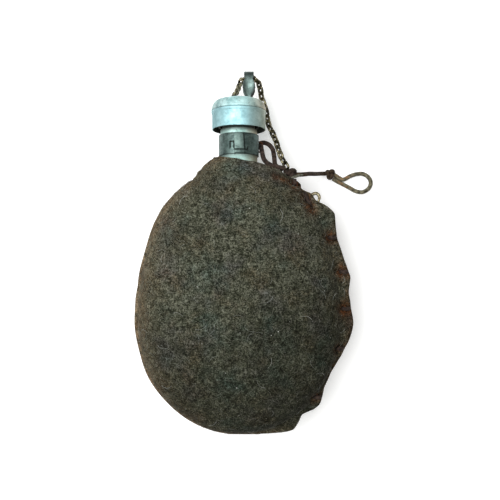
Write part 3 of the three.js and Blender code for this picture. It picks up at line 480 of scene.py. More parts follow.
def cover_row(level, side):
    """Points across one panel at a level, on the outside and the inside of the felt."""
    dome = np.linspace(math.pi, 0, DOME_POINTS)
    slant = COLLAR_SLOPE * float(smooth_step(level, SLANT_FOOT, COLLAR_LEVEL))
    y = np.full(len(dome), level)
    for _ in range(4):
        over = np.array([section_points(cover_section(v, FELT), np.array([a]))[0] for v, a in zip(y, dome)])
        y = level - slant * over[:, 0]
    under = np.array([section_points(cover_section(v, 0), np.array([a]))[0] for v, a in zip(y, dome)])
    over[:, 2] *= np.clip((level + LIP_BELOW) / SEAM_LIP, 0, 1) ** 1.5
    under[:, 2] = np.minimum(under[:, 2], np.maximum(0, over[:, 2] - FELT))
    narrow_left, narrow_right = SEAM_LIP_TOP - over[0, 0], SEAM_LIP_TOP + over[-1, 0]
    rise = level / lip_reach(level)
    left = lip_half_width(level) * shoulder_pinch(rise)
    left += (narrow_left - left) * float(smooth_step(rise, NOTCH_RISE - NOTCH_EASE, NOTCH_RISE + NOTCH_EASE))
    left = max(left, narrow_left) - EDGE_ROLL
    lace_top = eyelets[0][1]
    right = laced_edge(min(level, lace_top)) - LIP_FALL * max(0, level - lace_top)
    right -= SHOULDER_DIP * math.exp(-((rise - DIP_RISE) / DIP_HALF_HEIGHT) ** 2)
    right = max(right, narrow_right) - EDGE_ROLL
    left_lip = np.linspace(-left, over[0, 0], LEFT_POINTS, endpoint=False)
    right_lip = np.linspace(over[-1, 0], right, RIGHT_POINTS + 1)[1:]
    lips = LEFT_POINTS, RIGHT_POINTS
    across = np.concatenate([left_lip, over[:, 0], right_lip])
    across_in = np.concatenate([left_lip, under[:, 0], right_lip])
    along = np.pad(y, lips, "edge")
    swell = LIP_SLOPE * min(1, max(0, (LIP_SWELL_END - abs(rise)) / LIP_SWELL_FADE)) if side > 0 else 0
    lip = LIP_TOP + np.where(across > 0, np.minimum(LIP_SWELL, swell * (right + EDGE_ROLL - across)), 0)
    top = np.pad(over[:, 2], lips) + LIP_GAP / 2
    top = (top + lip + np.hypot(top - lip, LIP_FILLET)) / 2 - LIP_SINK
    base = np.pad(under[:, 2], lips) + LIP_GAP / 2
    return np.stack([across, along, top], axis=1), np.stack([across_in, along, base], axis=1)


def smoothed(rows):
    """Each row but the first and the last, averaged with its neighbours."""
    return np.concatenate([rows[:1], (rows[:-2] + 2 * rows[1:-1] + rows[2:]) / 4, rows[-1:]])


def cover_panel(side, seed):
    """Outer and inner grids of points of one panel, from the bottom lip to the collar, left to right."""
    levels = [-LIP_BELOW + up for up in BOTTOM_STEPS]
    levels += list(-(LIP_BELOW - SEAM_LIP) * np.cos(np.linspace(0, math.pi / 2, ROWS_BELOW)))
    levels += list((COLLAR_LEVEL - EDGE_ROLL) * np.sin(np.linspace(0, math.pi / 2, ROWS_ABOVE)))[1:]
    outer, inner = (np.array(grid) for grid in zip(*(cover_row(level, side) for level in levels)))
    for _ in range(8):
        outer = smoothed(outer.swapaxes(0, 1)).swapaxes(0, 1)
    for _ in range(2):
        outer[..., 2] = smoothed(outer[..., 2])
        outer[:, -1, 0] = smoothed(outer[:, -1, 0])
    normals = np.cross(np.gradient(outer, axis=1), np.gradient(outer, axis=0))
    normals /= np.linalg.norm(normals, axis=2, keepdims=True) + 1e-9
    moved = sum(height * lumps(outer, size, seed + shift) for height, size, shift in LUMPS)
    for at, depth in zip(eyelets, FOLD_DEPTHS):
        inward = np.array((-1.0, -FOLD_TURN * at[1]))
        moved += fold(outer, at, inward / np.linalg.norm(inward), depth, FOLD_WIDTH, FOLD_REACH)
    moved += fold(outer, NOTCH, NOTCH_INWARD, depth=1.5, width=1.8, reach=9.0)
    around = np.arctan2(outer[..., 0], outer[..., 2])
    to_collar = COLLAR_LEVEL - outer[..., 1] - COLLAR_SLOPE * outer[..., 0]
    fade = np.exp(-np.maximum(to_collar, 0) / RIPPLE_REACH)
    moved += RIPPLE_HEIGHT * fade * np.cos(RIPPLES * around + RIPPLE_TURN)
    quiet = smooth_step(outer[..., 2], 2.0, 7.0) * (1 - LIP_QUIET) + LIP_QUIET
    outer += normals * (moved * quiet)[..., None]
    if side > 0:
        outer[..., 2] -= beside_lines(outer, lacings, LACE_DENT) * np.maximum(0, outer[..., 2] - LIP_TOP)
    edge = outer[:, :1, 0].copy()
    for grid in (outer, inner):
        near = np.exp(-np.maximum(grid[..., 0] - edge, 0) / EDGE_REACH)
        level = grid[..., 1]
        above = level - NOTCH[1]
        shift = NOTCH_DEPTH * np.exp(-(above / np.where(above > 0, NOTCH_ABOVE, NOTCH_BELOW)) ** 2)
        shift -= COLLAR_FLARE * np.exp(-((level - FLARE_LEVEL) / FLARE_HEIGHT) ** 2)
        shift += WOBBLE * np.sin(level / WOBBLE_SHORT + 1) * np.sin(level / WOBBLE_LONG)
        grid[..., 0] += near * (shift + np.interp(level, *zip(*LEFT_EDGE)))
    if side < 0:
        outer[..., 2] = np.minimum(outer[..., 2], AXIS_HEIGHT * METRE - GROUND_GAP)
    thick = np.maximum(outer[..., 2], inner[..., 2] + LEAST_FELT)
    outer[..., 2] = np.where(inner[..., 2] < LIP_GAP, np.maximum(outer[..., 2], LEAST_LIP), thick)
    return outer * (1, 1, side), inner * (1, 1, side)


def wrap_panel(outer, inner):
    """One closed skin over both grids of a panel, rolled over at its edges."""
    turns = np.linspace(0, math.pi, 7)[1:-1]
    middle, half = (outer + inner) / 2, (outer - inner) / 2

    def roll(column, way, angles):
        centre, thick = middle[:, column], half[:, column]
        bulge = np.array((way * EDGE_ROLL, 0, 0))
        return np.stack([centre + thick * math.cos(t) + bulge * math.sin(t) for t in angles], axis=1)

    rims = roll(-1, 1, turns), roll(0, -1, turns[::-1])
    rings = np.concatenate([outer, rims[0], inner[:, ::-1], rims[1]], axis=1)
    rim, count, total = len(turns), outer.shape[1], rings.shape[1]
    spine = np.concatenate([middle, np.repeat(middle[:, -1:], rim, axis=1), middle[:, ::-1],
                            np.repeat(middle[:, :1], rim, axis=1)], axis=1)

    def end_ring(row, share, along):
        return spine[row] + (rings[row] - spine[row]) * share + np.array((0, along, 0))

    bottom = [end_ring(0, share, along) for share, along in BOTTOM_ROLL]
    collar = [end_ring(-1, share, along) for share, along in COLLAR_ROLL]
    rings = np.concatenate([bottom, rings, collar])
    points, faces = loft(rings)
    points, faces = points[:-2], [corners for corners in faces if len(corners) == 4]
    for base in (0, (len(rings) - 1) * total):
        back = base + total - rim - 1
        faces += [(base + i, base + i + 1, back - i - 1, back - i) for i in range(count - 1)]
        faces.append(tuple(range(base + count - 1, base + count + rim + 1)))
        faces.append((base, back) + tuple(range(back + 1, base + total)))
    return points, faces


# Rust round each lacing: its size, and its strength at a share of the way to the edge, faint lower down
RUST_SIZES = (4.0, 4.4, 3.6, 4.0, 4.0, 3.4, 3.4)
RUST_SPOTS = ((0.05, 1.0), (0.8, 0.75))
FAINT_RUST_SPOTS = ((0.05, 0.5), (0.8, 0.4))
# Where the lace has rusted the shoulder on its way to the first eyelet, and where painted shade darkens the
# hollow beside it, seen from above
SHOULDER_RUST = ((23.5, 91.6), (36.4, 88.1))
SHOULDER_SHADE = ((22.5, 94.4), (36.0, 90.8))
# Painted shade darkens the felt towards the bottom and the laced side, between two levels on a slanting line
SHADE_SLANT = 0.4
SHADE_FROM = -55
SHADE_TO = 60


def stain(distance, strength, reach):
    """A stain that fades away from its source."""
    return strength * np.exp(-np.maximum(distance, 0) / reach)


def wear_fields(points):
    """Rust at each lacing, painted shade in the hollows there, brown wear along the lips and the collar, and
    painted shade lower down.
    """
    points = np.array(points)
    x, y, z = points.T
    in_front = z > 0
    rust = np.zeros(len(points))
    for (inner, outer), size in zip(lacings, RUST_SIZES):
        for share, strength in RUST_SPOTS if inner[1] > 0 else FAINT_RUST_SPOTS:
            away = points[:, :2] - inner - share * (outer - inner)
            rust = np.maximum(rust, strength * np.exp(-(np.hypot(away[:, 0], 0.8 * away[:, 1]) / size) ** 2))
    right = np.array([laced_edge(level) for level in y])
    rust = np.maximum(rust, stain(right - x, strength=0.28, reach=4.0) * smooth_step(y, -70, -30))
    rust = np.maximum(rust, 0.8 * beside_lines(points, (SHOULDER_RUST,), width=2.2) * in_front)
    left = np.array([lip_half_width(level) * shoulder_pinch(level / LIP_ABOVE) for level in y])
    worn = stain(left + x, strength=1.0, reach=6.5) * (1 - 0.45 * smooth_step(y, 86, 96))
    worn = np.maximum(worn, stain(np.abs(LIP_BELOW + y), strength=0.5, reach=2.5))
    worn = np.maximum(worn, stain(COLLAR_LEVEL - y - COLLAR_SLOPE * x, strength=0.25, reach=4.0))
    # Painted shade in the hollows beside each lacing and beside the lace on the shoulder
    hollow = beside_lines(points, lacings, width=2.0) * (0.4 + 0.6 * smooth_step(y, -10, 0))
    hollow = np.maximum(hollow, 0.5 * beside_lines(points, (SHOULDER_SHADE,), width=2.6)) * in_front
    # Painted shade, darker towards the bottom and the laced side
    lower_shade = smooth_step(SHADE_SLANT * x - y, SHADE_FROM, SHADE_TO)
    return {"rust": rust, "worn": worn, "hollow": hollow, "lower_shade": lower_shade}


def math_node(tree, operation, *values):
    node = add(tree, "ShaderNodeMath", {"operation": operation})
    for socket, value in zip(node.inputs, values):
        feed(tree, socket, value)
    return node.outputs[0]


def scaled(tree, share, most):
    return tinted(tree, share, (most, most, most, 1))


FELT_SHADES = (0.41, colour(12, 13, 7)), (0.5, colour(55, 57, 45)), (0.6, colour(118, 119, 104))
WORN_SHADES = (0.4, colour(76, 61, 46)), (0.5, colour(122, 100, 77)), (0.6, colour(166, 140, 112))
RUST_SHADES = (0.38, colour(32, 18, 9)), (0.5, colour(78, 45, 21)), (0.6, colour(146, 80, 32))
FELT_FIBRE = colour(134, 134, 118)
FELT_FLECK = colour(196, 198, 190)
FELT_LOWER_SHADE = colour(22, 21, 14)
FELT_HOLLOW_SHADE = colour(16, 12, 8)
FIBRE_TURNS = (0.4, 1.3, 2.1, 2.8)
# Patches in the felt: millimetres across and tint, which is blue-green, lilac, brown and dark
FELT_PATCHES = (
    (30, (0.66, 0.85, 0.95, 1)), (22, (0.84, 0.81, 0.98, 1)), (17, (0.98, 0.85, 0.77, 1)),
    (26, (0.62, 0.62, 0.62, 1)),
)


def felt_look():
    """Matted wool: pale fibres on a dark ground, in patches of olive, blue-green and brown, and rusted, with
    painted shade lower down and in the lacings' hollows.
    """
    material, tree, shader = surface("wool_felt", 1.0)
    shader.inputs["Specular IOR Level"].default_value = 0.05
    fine = mix(tree, 0.3, grain(tree, 1.0, 5, 0.8), grain(tree, 3.4, 4, 0.75))
    # Painted shade: the fibres darken towards the bottom and the laced side
    shaded_grain = math_node(tree, "MULTIPLY_ADD", field(tree, "lower_shade"), -0.026, fine)
    shade = ramp(tree, shaded_grain, *FELT_SHADES)
    crossed, *others = [grain(tree, 0.5, 2, 0.6, (8, 1, 8), (0, 0, turn), 0.5) for turn in FIBRE_TURNS]
    for other in others:
        crossed = mix(tree, 1.0, crossed, other, "LIGHTEN")
    shade = mix(tree, ramp(tree, crossed, (0.67, 0.0), (0.8, 0.6)), shade, FELT_FIBRE)
    for size, tint in FELT_PATCHES:
        shade = tinted(tree, shade, ramp(tree, grain(tree, size, 3, 0.6), (0.5, 1.0), (0.68, tint)))
    # Painted shade towards the bottom and the laced side
    shade = mix(tree, scaled(tree, field(tree, "lower_shade"), 0.3), shade, FELT_LOWER_SHADE)
    shade = mix(tree, ramp(tree, grain(tree, 1.4, 0), (0.87, 0.0), (0.89, 0.8)), shade, FELT_FLECK)
    patchy = ramp(tree, grain(tree, 4, 4, 0.7), (0.3, 0.3), (0.62, 1.0))
    for mark, most, shades in (("worn", 0.75, WORN_SHADES), ("rust", 0.92, RUST_SHADES)):
        share = scaled(tree, tinted(tree, field(tree, mark), patchy), most)
        shade = mix(tree, share, shade, ramp(tree, fine, *shades))
    # Painted shade in the hollows at the lacings
    shade = mix(tree, scaled(tree, field(tree, "hollow"), 0.8), shade, FELT_HOLLOW_SHADE)
    finish(tree, shader, shade, mix(tree, 0.5, fine, crossed), 0.4)
    return material


felt = felt_look()
panels = {}
for panel_name, node, side, seed in (("cover_front", "front_felt", 1, 3.7),
                                     ("cover_back", "back_felt", -1, 21.3)):
    panels[panel_name], lining = cover_panel(side, seed)
    shape = wrap_panel(panels[panel_name], lining)
    panel = make_piece(panel_name, shape, felt, **wear_fields(shape[0]))
    belongs(panel, "bottle", "felt", node)

# Nap: loose wool fibres that wear has raised on both panels, lying every way, and a few long pale ones
# caught among them. Each is one thin bent hair on the felt's outside. Sizes are metres here.
FIBRE_LENGTH = 0.0026
FIBRE_THICKNESS = 0.00005
FIBRES_PER_SQUARE_METRE = 220000.0
LINT_LENGTH = 0.0055
LINT_THICKNESS = 0.00006
LINT_PER_SQUARE_METRE = 3200.0
LINT_SEED_STEP = 20


def geometry_tree(name, **sockets):
    """An empty Geometry Nodes tree with named inputs, and the sockets at both its ends."""
    tree = bpy.data.node_groups.new(name, "GeometryNodeTree")
    tree.interface.new_socket("Geometry", in_out="INPUT", socket_type="NodeSocketGeometry")
    for label, kind in sockets.items():
        tree.interface.new_socket(label, in_out="INPUT", socket_type="NodeSocket" + kind)
    tree.interface.new_socket("Geometry", in_out="OUTPUT", socket_type="NodeSocketGeometry")
    given = tree.nodes.new("NodeGroupInput").outputs
    return tree, given, tree.nodes.new("NodeGroupOutput").inputs["Geometry"]


def random_value(tree, kind, low, high, seed):
    node = add(tree, "FunctionNodeRandomValue", {"data_type": kind}, Seed=seed)
    first = 0 if kind == "FLOAT_VECTOR" else 2
    node.inputs[first].default_value = low
    node.inputs[first + 1].default_value = high
    return node.outputs[0 if kind == "FLOAT_VECTOR" else 1]


def place_instances(tree, points, piece, rotation, material, out, scale=None):
    """Sets a piece on points, makes it real and gives it its material."""
    node = add(tree, "GeometryNodeInstanceOnPoints", Points=points, Instance=piece, Rotation=rotation)
    if scale is not None:
        tree.links.new(scale, node.inputs["Scale"])
    real = add(tree, "GeometryNodeRealizeInstances", Geometry=node.outputs[0]).outputs[0]
    tree.links.new(add(tree, "GeometryNodeSetMaterial", Geometry=real, Material=material).outputs[0], out)


def grow(name, base, tree, **values):
    """Runs a Geometry Nodes tree on a mesh or curve and keeps what it makes as a piece."""
    holder = bpy.data.objects.new(name + "_base", base)
    scene.collection.objects.link(holder)
    modifier = holder.modifiers.new(name, "NODES")
    modifier.node_group = tree
    for item in tree.interface.items_tree:
        if item.name in values and item.in_out == "INPUT":
            modifier[item.identifier] = values[item.name]
    made = bpy.data.meshes.new_from_object(holder.evaluated_get(bpy.context.evaluated_depsgraph_get()))
    bpy.data.objects.remove(holder)
    made.name = name
    piece = bpy.data.objects.new(name, made)
    scene.collection.objects.link(piece)
    return piece


def nap_tree():
    tree, given, out = geometry_tree("nap", Density="Float", Length="Float", Thickness="Float",
                                     Seed="Int", Material="Material")
    spots = add(tree, "GeometryNodeDistributePointsOnFaces", Mesh=given["Geometry"],
                Density=given["Density"], Seed=given["Seed"])
    hair = add(tree, "GeometryNodeCurveQuadraticBezier", Resolution=4, Start=(-0.5, 0, 0),
               Middle=(0.05, 0.35, 0.16), End=(0.5, -0.05, 0.07)).outputs[0]
    thin = math_node(tree, "DIVIDE", given["Thickness"], given["Length"])
    section = add(tree, "GeometryNodeCurvePrimitiveCircle", Resolution=3, Radius=thin).outputs[0]
    fibre = add(tree, "GeometryNodeCurveToMesh", Curve=hair, Profile_Curve=section, Fill_Caps=True).outputs[0]
    turn = random_value(tree, "FLOAT_VECTOR", (-0.2, -0.2, 0), (0.2, 0.2, 6.28), given["Seed"])
    turn = add(tree, "FunctionNodeEulerToRotation", Euler=turn).outputs[0]
    lie = add(tree, "FunctionNodeRotateRotation", {"rotation_space": "LOCAL"},
              Rotation=spots.outputs["Rotation"], Rotate_By=turn).outputs[0]
    size = math_node(tree, "MULTIPLY", given["Length"], random_value(tree, "FLOAT", 0.5, 1.5, 7))
    place_instances(tree, spots.outputs["Points"], fibre, lie, given["Material"], out, size)
    return tree


def nap_look(name, dark, pale, least):
    """Wool fibres, darkened by painted shade towards the bottom and the laced side, down to the least share of
    their colour.
    """
    material, tree, shader = surface(name, 0.9)
    shade = ramp(tree, grain(tree, 5, 2, 0.6), (0.35, dark), (0.65, pale))
    # Painted shade, darker towards the bottom and the laced side
    place = add(tree, "ShaderNodeTexCoord").outputs["Object"]
    place = add(tree, "ShaderNodeSeparateXYZ", Vector=place).outputs
    below = math_node(tree, "MULTIPLY", place["Y"], -1.0)
    down = math_node(tree, "MULTIPLY_ADD", place["X"], SHADE_SLANT, below)
    run = SHADE_TO - SHADE_FROM
    down = math_node(tree, "MULTIPLY_ADD", down, METRE / run, -SHADE_FROM / run)
    finish(tree, shader, tinted(tree, shade, ramp(tree, down, (0.1, 1.0), (0.95, least))))
    return material


def grid_faces(rows, columns):
    """Quads over a grid of points, row by row."""
    return [(j * columns + i, j * columns + i + 1, (j + 1) * columns + i + 1, (j + 1) * columns + i)
            for j in range(rows - 1) for i in range(columns - 1)]


nap_nodes = nap_tree()
nap_material = nap_look("wool_fibre", colour(48, 49, 37), colour(142, 142, 126), least=0.42)
lint_material = nap_look("pale_fibre", colour(116, 120, 113), colour(182, 184, 177), least=0.7)
for panel_name, seed in (("cover_front", 11), ("cover_back", 12)):
    grid = panels[panel_name]
    cells = grid_faces(*grid.shape[:2])
    if panel_name == "cover_back":
        cells = [cell[::-1] for cell in cells]
    sheet = bpy.data.meshes.new(panel_name + "_outside")
    sheet.from_pydata(in_frame(grid.reshape(-1, 3)).tolist(), [], cells)
    nap = grow(panel_name + "_nap", sheet, nap_nodes, Density=FIBRES_PER_SQUARE_METRE, Length=FIBRE_LENGTH,
               Thickness=FIBRE_THICKNESS, Seed=seed, Material=nap_material)
    lint = grow(panel_name + "_lint", sheet.copy(), nap_nodes, Density=LINT_PER_SQUARE_METRE,
                Length=LINT_LENGTH, Thickness=LINT_THICKNESS, Seed=seed + LINT_SEED_STEP, Material=lint_material)
    belongs(nap, "bottle", "felt")
    belongs(lint, "bottle", "felt")

# Eyelets: seven rolled steel rings that line the holes in the front's laced lip, clenched in the felt.
# They have rusted through and through and stain the felt round them.
EYELET_RING = 1.9
EYELET_ROLL = 0.45
EYELET_LEVEL = LIP_TOP + 0.35


def rust_look(name, dark, pale):
    material, tree, shader = surface(name, 0.85, 0.2)
    tone = grain(tree, 1.2, 4, 0.7)
    finish(tree, shader, ramp(tree, tone, (0.35, dark), (0.65, pale)), grain(tree, 0.5, 3, 0.6), 0.1)
    return material


def eyelet_tree():
    tree, given, out = geometry_tree("eyelets", Ring="Float", Roll="Float", Material="Material")
    ring = add(tree, "GeometryNodeCurvePrimitiveCircle", Resolution=32, Radius=given["Ring"]).outputs[0]
    section = add(tree, "GeometryNodeCurvePrimitiveCircle", Resolution=10, Radius=given["Roll"]).outputs[0]
    rolled = add(tree, "GeometryNodeCurveToMesh", Curve=ring, Profile_Curve=section).outputs[0]
    place_instances(tree, given["Geometry"], rolled, (0, 0, 0), given["Material"], out)
    return tree


eyelet_spots = bpy.data.meshes.new("eyelet_spots")
eyelet_spots.from_pydata(in_frame([at + (0, 0, EYELET_LEVEL) for at in eyelets]).tolist(), [], [])
rust = rust_look("rusty_steel", colour(34, 19, 10), colour(112, 64, 28))
lace_eyelets = grow("lace_eyelets", eyelet_spots, eyelet_tree(), Ring=EYELET_RING * MILLIMETRE,
                    Roll=EYELET_ROLL * MILLIMETRE, Material=rust)
belongs(lace_eyelets, "bottle", "rusty_steel", *(f"lace_eyelet_{k + 1}" for k in range(len(eyelets))))

# Laces: dark brown round bootlace, stiff with age. One closes the cover's side, up through each eyelet
# and over the edge; one loops from the shoulder to the neck band. Both end in the shoulder knot.
SIDE_LACE = 2.64
NECK_LACE = 3.1
LACE_OVER = 5.4
LACE_UNDER = -4.7
NOTCH_REACH = 3.8
SHOULDER_KNOT = eyelets[0] + (-2.7, 7.7, 2.0)
SHOULDER_KNOT_SIZE = (4.6, 3.9, 3.8)
STOP_KNOT_SIZE = (2.2, 2.2, 2.2)
KNOT_STRAND = 0.38
STAPLE_ANGLE = math.radians(-24)
STAPLE_LEVEL = 114.3
LACE_SEAT = 14.7


def run_along(path):
    """How far along a path each of its points lies."""
    return np.concatenate([[0], np.cumsum(np.linalg.norm(np.diff(path, axis=0), axis=1))])


def smooth_route(points, step=0.5):
    """A centripetal Catmull-Rom curve through points, in even steps."""
    given = [np.array(point, float) for point in points]
    given = [2 * given[0] - given[1]] + given + [2 * given[-1] - given[-2]]
    path = []
    for a, b, c, d in zip(given, given[1:], given[2:], given[3:]):
        t1 = np.linalg.norm(b - a) ** 0.5
        t2 = t1 + np.linalg.norm(c - b) ** 0.5
        t3 = t2 + np.linalg.norm(d - c) ** 0.5
        for t in np.linspace(t1, t2, 20, endpoint=False):
            ab = a + (b - a) * t / t1
            bc = b + (c - b) * (t - t1) / (t2 - t1)
            cd = c + (d - c) * (t - t2) / (t3 - t2)
            abc = ab + (bc - ab) * t / t2
            bcd = bc + (cd - bc) * (t - t1) / (t3 - t1)
            path.append(abc + (bcd - abc) * (t - t1) / (t2 - t1))
    path = np.array(path + [given[-2]])
    run = run_along(path)
    at = np.linspace(0, run[-1], max(2, round(run[-1] / step) + 1))
    return np.stack([np.interp(at, run, path[:, k]) for k in range(3)], axis=1)


def tube(path, radius, sides=14, joined=False):
    """A tube round a path; joined closes it into a ring."""
    path = np.asarray(path, float)
    ahead = np.roll(path, -1, axis=0) - np.roll(path, 1, axis=0) if joined else np.gradient(path, axis=0)
    ahead /= np.linalg.norm(ahead, axis=1, keepdims=True)
    across = np.cross(ahead[0], (0.31, 0.17, 0.93))
    frames = []
    for way in list(ahead) + [ahead[0]]:
        across = across - way * np.dot(across, way)
        across /= np.linalg.norm(across)
        frames.append((across, np.cross(way, across)))
    first, last = frames[0][0], frames[-1]
    slip = math.atan2(np.dot(first, last[1]), np.dot(first, last[0])) if joined else 0.0
    angles = np.linspace(0, 2 * math.pi, sides, endpoint=False)
    rings = []
    for k, (point, (across, up)) in enumerate(zip(path, frames)):
        turned = angles + slip * k / len(path)
        size = radius[k] if np.ndim(radius) else radius
        rings.append(point + size * (np.cos(turned)[:, None] * across + np.sin(turned)[:, None] * up))
    return loft(np.array(rings), joined)


def cord_piece(name, path, radius, look, joined=False):
    """A cord along a path. Its look reads how far along it a point is, in millimetres, and round it."""
    sides = 14
    along = np.repeat(run_along(path), sides)
    around = np.tile(np.arange(sides) / sides, len(path))
    return make_piece(name, tube(path, radius, sides, joined), look, along=along, around=around)


CORD_STAIN = colour(138, 90, 48)
CORD_STAIN_REACH = 9.0


def cord_look(name, dark, pale, pitch, strands, depth, stained=()):
    """A braided cord: strands wind round it both ways, once in each pitch, in millimetres; dirt is uneven.

    stained: places along it, in millimetres, with rust-brown spots.
    """
    material, tree, shader = surface(name, 0.85)
    shader.inputs["Specular IOR Level"].default_value = 0.2
    wind = math_node(tree, "DIVIDE", field(tree, "along"), pitch)
    waves = []
    for way in (1, -1):
        turn = math_node(tree, "MULTIPLY_ADD", field(tree, "around"), way * strands, wind)
        waves.append(math_node(tree, "SINE", math_node(tree, "MULTIPLY", turn, 2 * math.pi)))
    weave = math_node(tree, "MAXIMUM", *waves)
    light = math_node(tree, "MULTIPLY_ADD", weave, 0.06, grain(tree, 2.2, 5, 0.75))
    shade = ramp(tree, light, (0.35, dark), (0.68, pale))
    spots = ramp(tree, grain(tree, 2.6, 3, 0.6), (0.48, 0.0), (0.62, 0.7))
    for place in stained:
        away = math_node(tree, "ABSOLUTE", math_node(tree, "SUBTRACT", field(tree, "along"), place))
        near = math_node(tree, "SUBTRACT", 1.0, math_node(tree, "DIVIDE", away, CORD_STAIN_REACH))
        near = math_node(tree, "MULTIPLY", math_node(tree, "MAXIMUM", near, 0.0), spots)
        shade = mix(tree, near, shade, CORD_STAIN)
    finish(tree, shader, shade, weave, depth)
    return material


def side_lace_route():
    top = eyelets[0]
    route = [SHOULDER_KNOT + (2.6, -4.2, 3.6), top + (0, 0.6, LACE_OVER), top, top + (0, 0, LACE_UNDER + 1.6),
             top + (0.4, 0, LACE_UNDER - 0.4), top + (3.6, -1.6, LACE_UNDER - 1.5)]
    (low_x, low_y), (high_x, high_y) = lacings[1]
    route += [(high_x - 0.4, high_y + 0.8, LACE_UNDER - 1), (high_x - 0.3, high_y + 0.8, LACE_UNDER + 3),
              (high_x - 0.2, high_y + 0.5, LIP_TOP), (high_x, high_y - 1, LACE_OVER - 0.2),
              ((low_x + high_x) / 2, (low_y + high_y) / 2, LACE_OVER + 0.3), (low_x, low_y, LACE_OVER - 0.4),
              (low_x + 0.5, low_y - 1, LIP_TOP - 1.4), (low_x + 0.5, low_y - 1.2, LACE_UNDER + 1.5)]
    for at in eyelets[2:]:
        route += [at + step for step in (
            (3, 2.6, LACE_UNDER - 1.5), (0, 0.3, LACE_UNDER - 0.4), (0, 0, LACE_UNDER + 1.7), (0, 0, LIP_TOP),
            (0.9, 0, LACE_OVER + 0.3), (NOTCH_REACH / 2, 0, LACE_OVER + 0.5),
            (NOTCH_REACH - 0.5, 0, LACE_OVER - 0.4), (NOTCH_REACH, 0, LIP_TOP - 1),
            (NOTCH_REACH, 0, LACE_UNDER + 1.3), (NOTCH_REACH + 0.2, -0.4, LACE_UNDER - 0.5),
            (NOTCH_REACH + 0.4, -2.4, LACE_UNDER - 1.5))]
    return route + [eyelets[-1] + (NOTCH_REACH - 1.6, -4.4, LACE_UNDER - 1.5)]


def beside_neck(radius, level, angle):
    return np.array((radius * math.cos(angle), level, radius * math.sin(angle)))


def knot_route(centre, half_sizes, cord):
    """A trefoil, the shape of a pulled overhand knot, as large as the half-sizes allow."""
    t = np.linspace(0, 2 * math.pi, 120, endpoint=False)
    path = np.stack([np.sin(t) + 2 * np.sin(2 * t), np.cos(t) - 2 * np.cos(2 * t), -np.sin(3 * t)], axis=1)
    path /= np.abs(path).max(axis=0)
    return np.array(centre) + path * (np.array(half_sizes) - cord / 2)


neck_lace_route = [
    SHOULDER_KNOT + (-3.6, 2.6, 2.8), SHOULDER_KNOT + (-12.8, 4.7, 4), SHOULDER_KNOT + (-17, 8.6, 1.4),
    beside_neck(LACE_SEAT + 0.4, STAPLE_LEVEL - 2.4, -0.08),
    beside_neck(LACE_SEAT, STAPLE_LEVEL, STAPLE_ANGLE + 0.2),
    beside_neck(LACE_SEAT, STAPLE_LEVEL, STAPLE_ANGLE),
    beside_neck(LACE_SEAT, STAPLE_LEVEL, STAPLE_ANGLE - 0.3),
    beside_neck(LACE_SEAT + 2, STAPLE_LEVEL + 1.4, STAPLE_ANGLE - 0.62),
    beside_neck(LACE_SEAT + 6, STAPLE_LEVEL + 4.3, STAPLE_ANGLE - 0.3),
    beside_neck(LACE_SEAT + 7.3, STAPLE_LEVEL + 2.7, STAPLE_ANGLE - 0.05),
    SHOULDER_KNOT + (-11.3, 17.6, -9), SHOULDER_KNOT + (-10.3, 12.4, -6), SHOULDER_KNOT + (-9.3, 5.8, -3.8),
    SHOULDER_KNOT + (-4.6, 2.6, -2.6),
]
lace_look = cord_look("bootlace", colour(18, 14, 12), colour(70, 57, 50), pitch=3.2, strands=2, depth=0.1)
STOP_KNOT = side_lace_route()[-1] + (-1.65, -1.87, -0.2)
for lace_name, node, route, thick in (("side_lace_cord", "side_lace", side_lace_route(), SIDE_LACE),
                                      ("neck_lace_cord", "neck_lace", neck_lace_route, NECK_LACE)):
    lace = cord_piece(lace_name, smooth_route(route), thick / 2, lace_look)
    belongs(lace, "bottle", "lace", node)
for knot_name, node, centre, half_sizes in (
        ("shoulder_knot_tied", "shoulder_knot", SHOULDER_KNOT, SHOULDER_KNOT_SIZE),
        ("stop_knot_tied", "lace_stop_knot", STOP_KNOT, STOP_KNOT_SIZE)):
    strand = KNOT_STRAND * min(half_sizes)
    knot = cord_piece(knot_name, knot_route(centre, half_sizes, 2 * strand), strand, lace_look, joined=True)
    belongs(knot, "bottle", "lace", node)

# Frayed end: the short end of the lace beyond the shoulder knot, its braid come open and worn pale.
# The knot alone holds it, and it thins towards its tip.
FRAYED_RADIUS = 1.0
FRAYED_SHARES = (0, 0.3, 0.7, 1)
FRAYED_TAPER = (0.7, 1, 0.8, 0.4)
frayed_route = smooth_route([SHOULDER_KNOT + step for step in (
    (0.4, -3, 2.4), (3.2, -2.6, 2.9), (6, -1.7, 1.6), (8.6, -1, 0.5))])
frayed_taper = np.interp(np.linspace(0, 1, len(frayed_route)), FRAYED_SHARES, FRAYED_TAPER)
frayed_look = cord_look("frayed_lace", colour(44, 41, 33), colour(126, 126, 112),
                        pitch=2.0, strands=2, depth=0.2)
frayed_end = cord_piece("lace_frayed_end", frayed_route, FRAYED_RADIUS * frayed_taper, frayed_look)
belongs(frayed_end, "bottle", "lace")

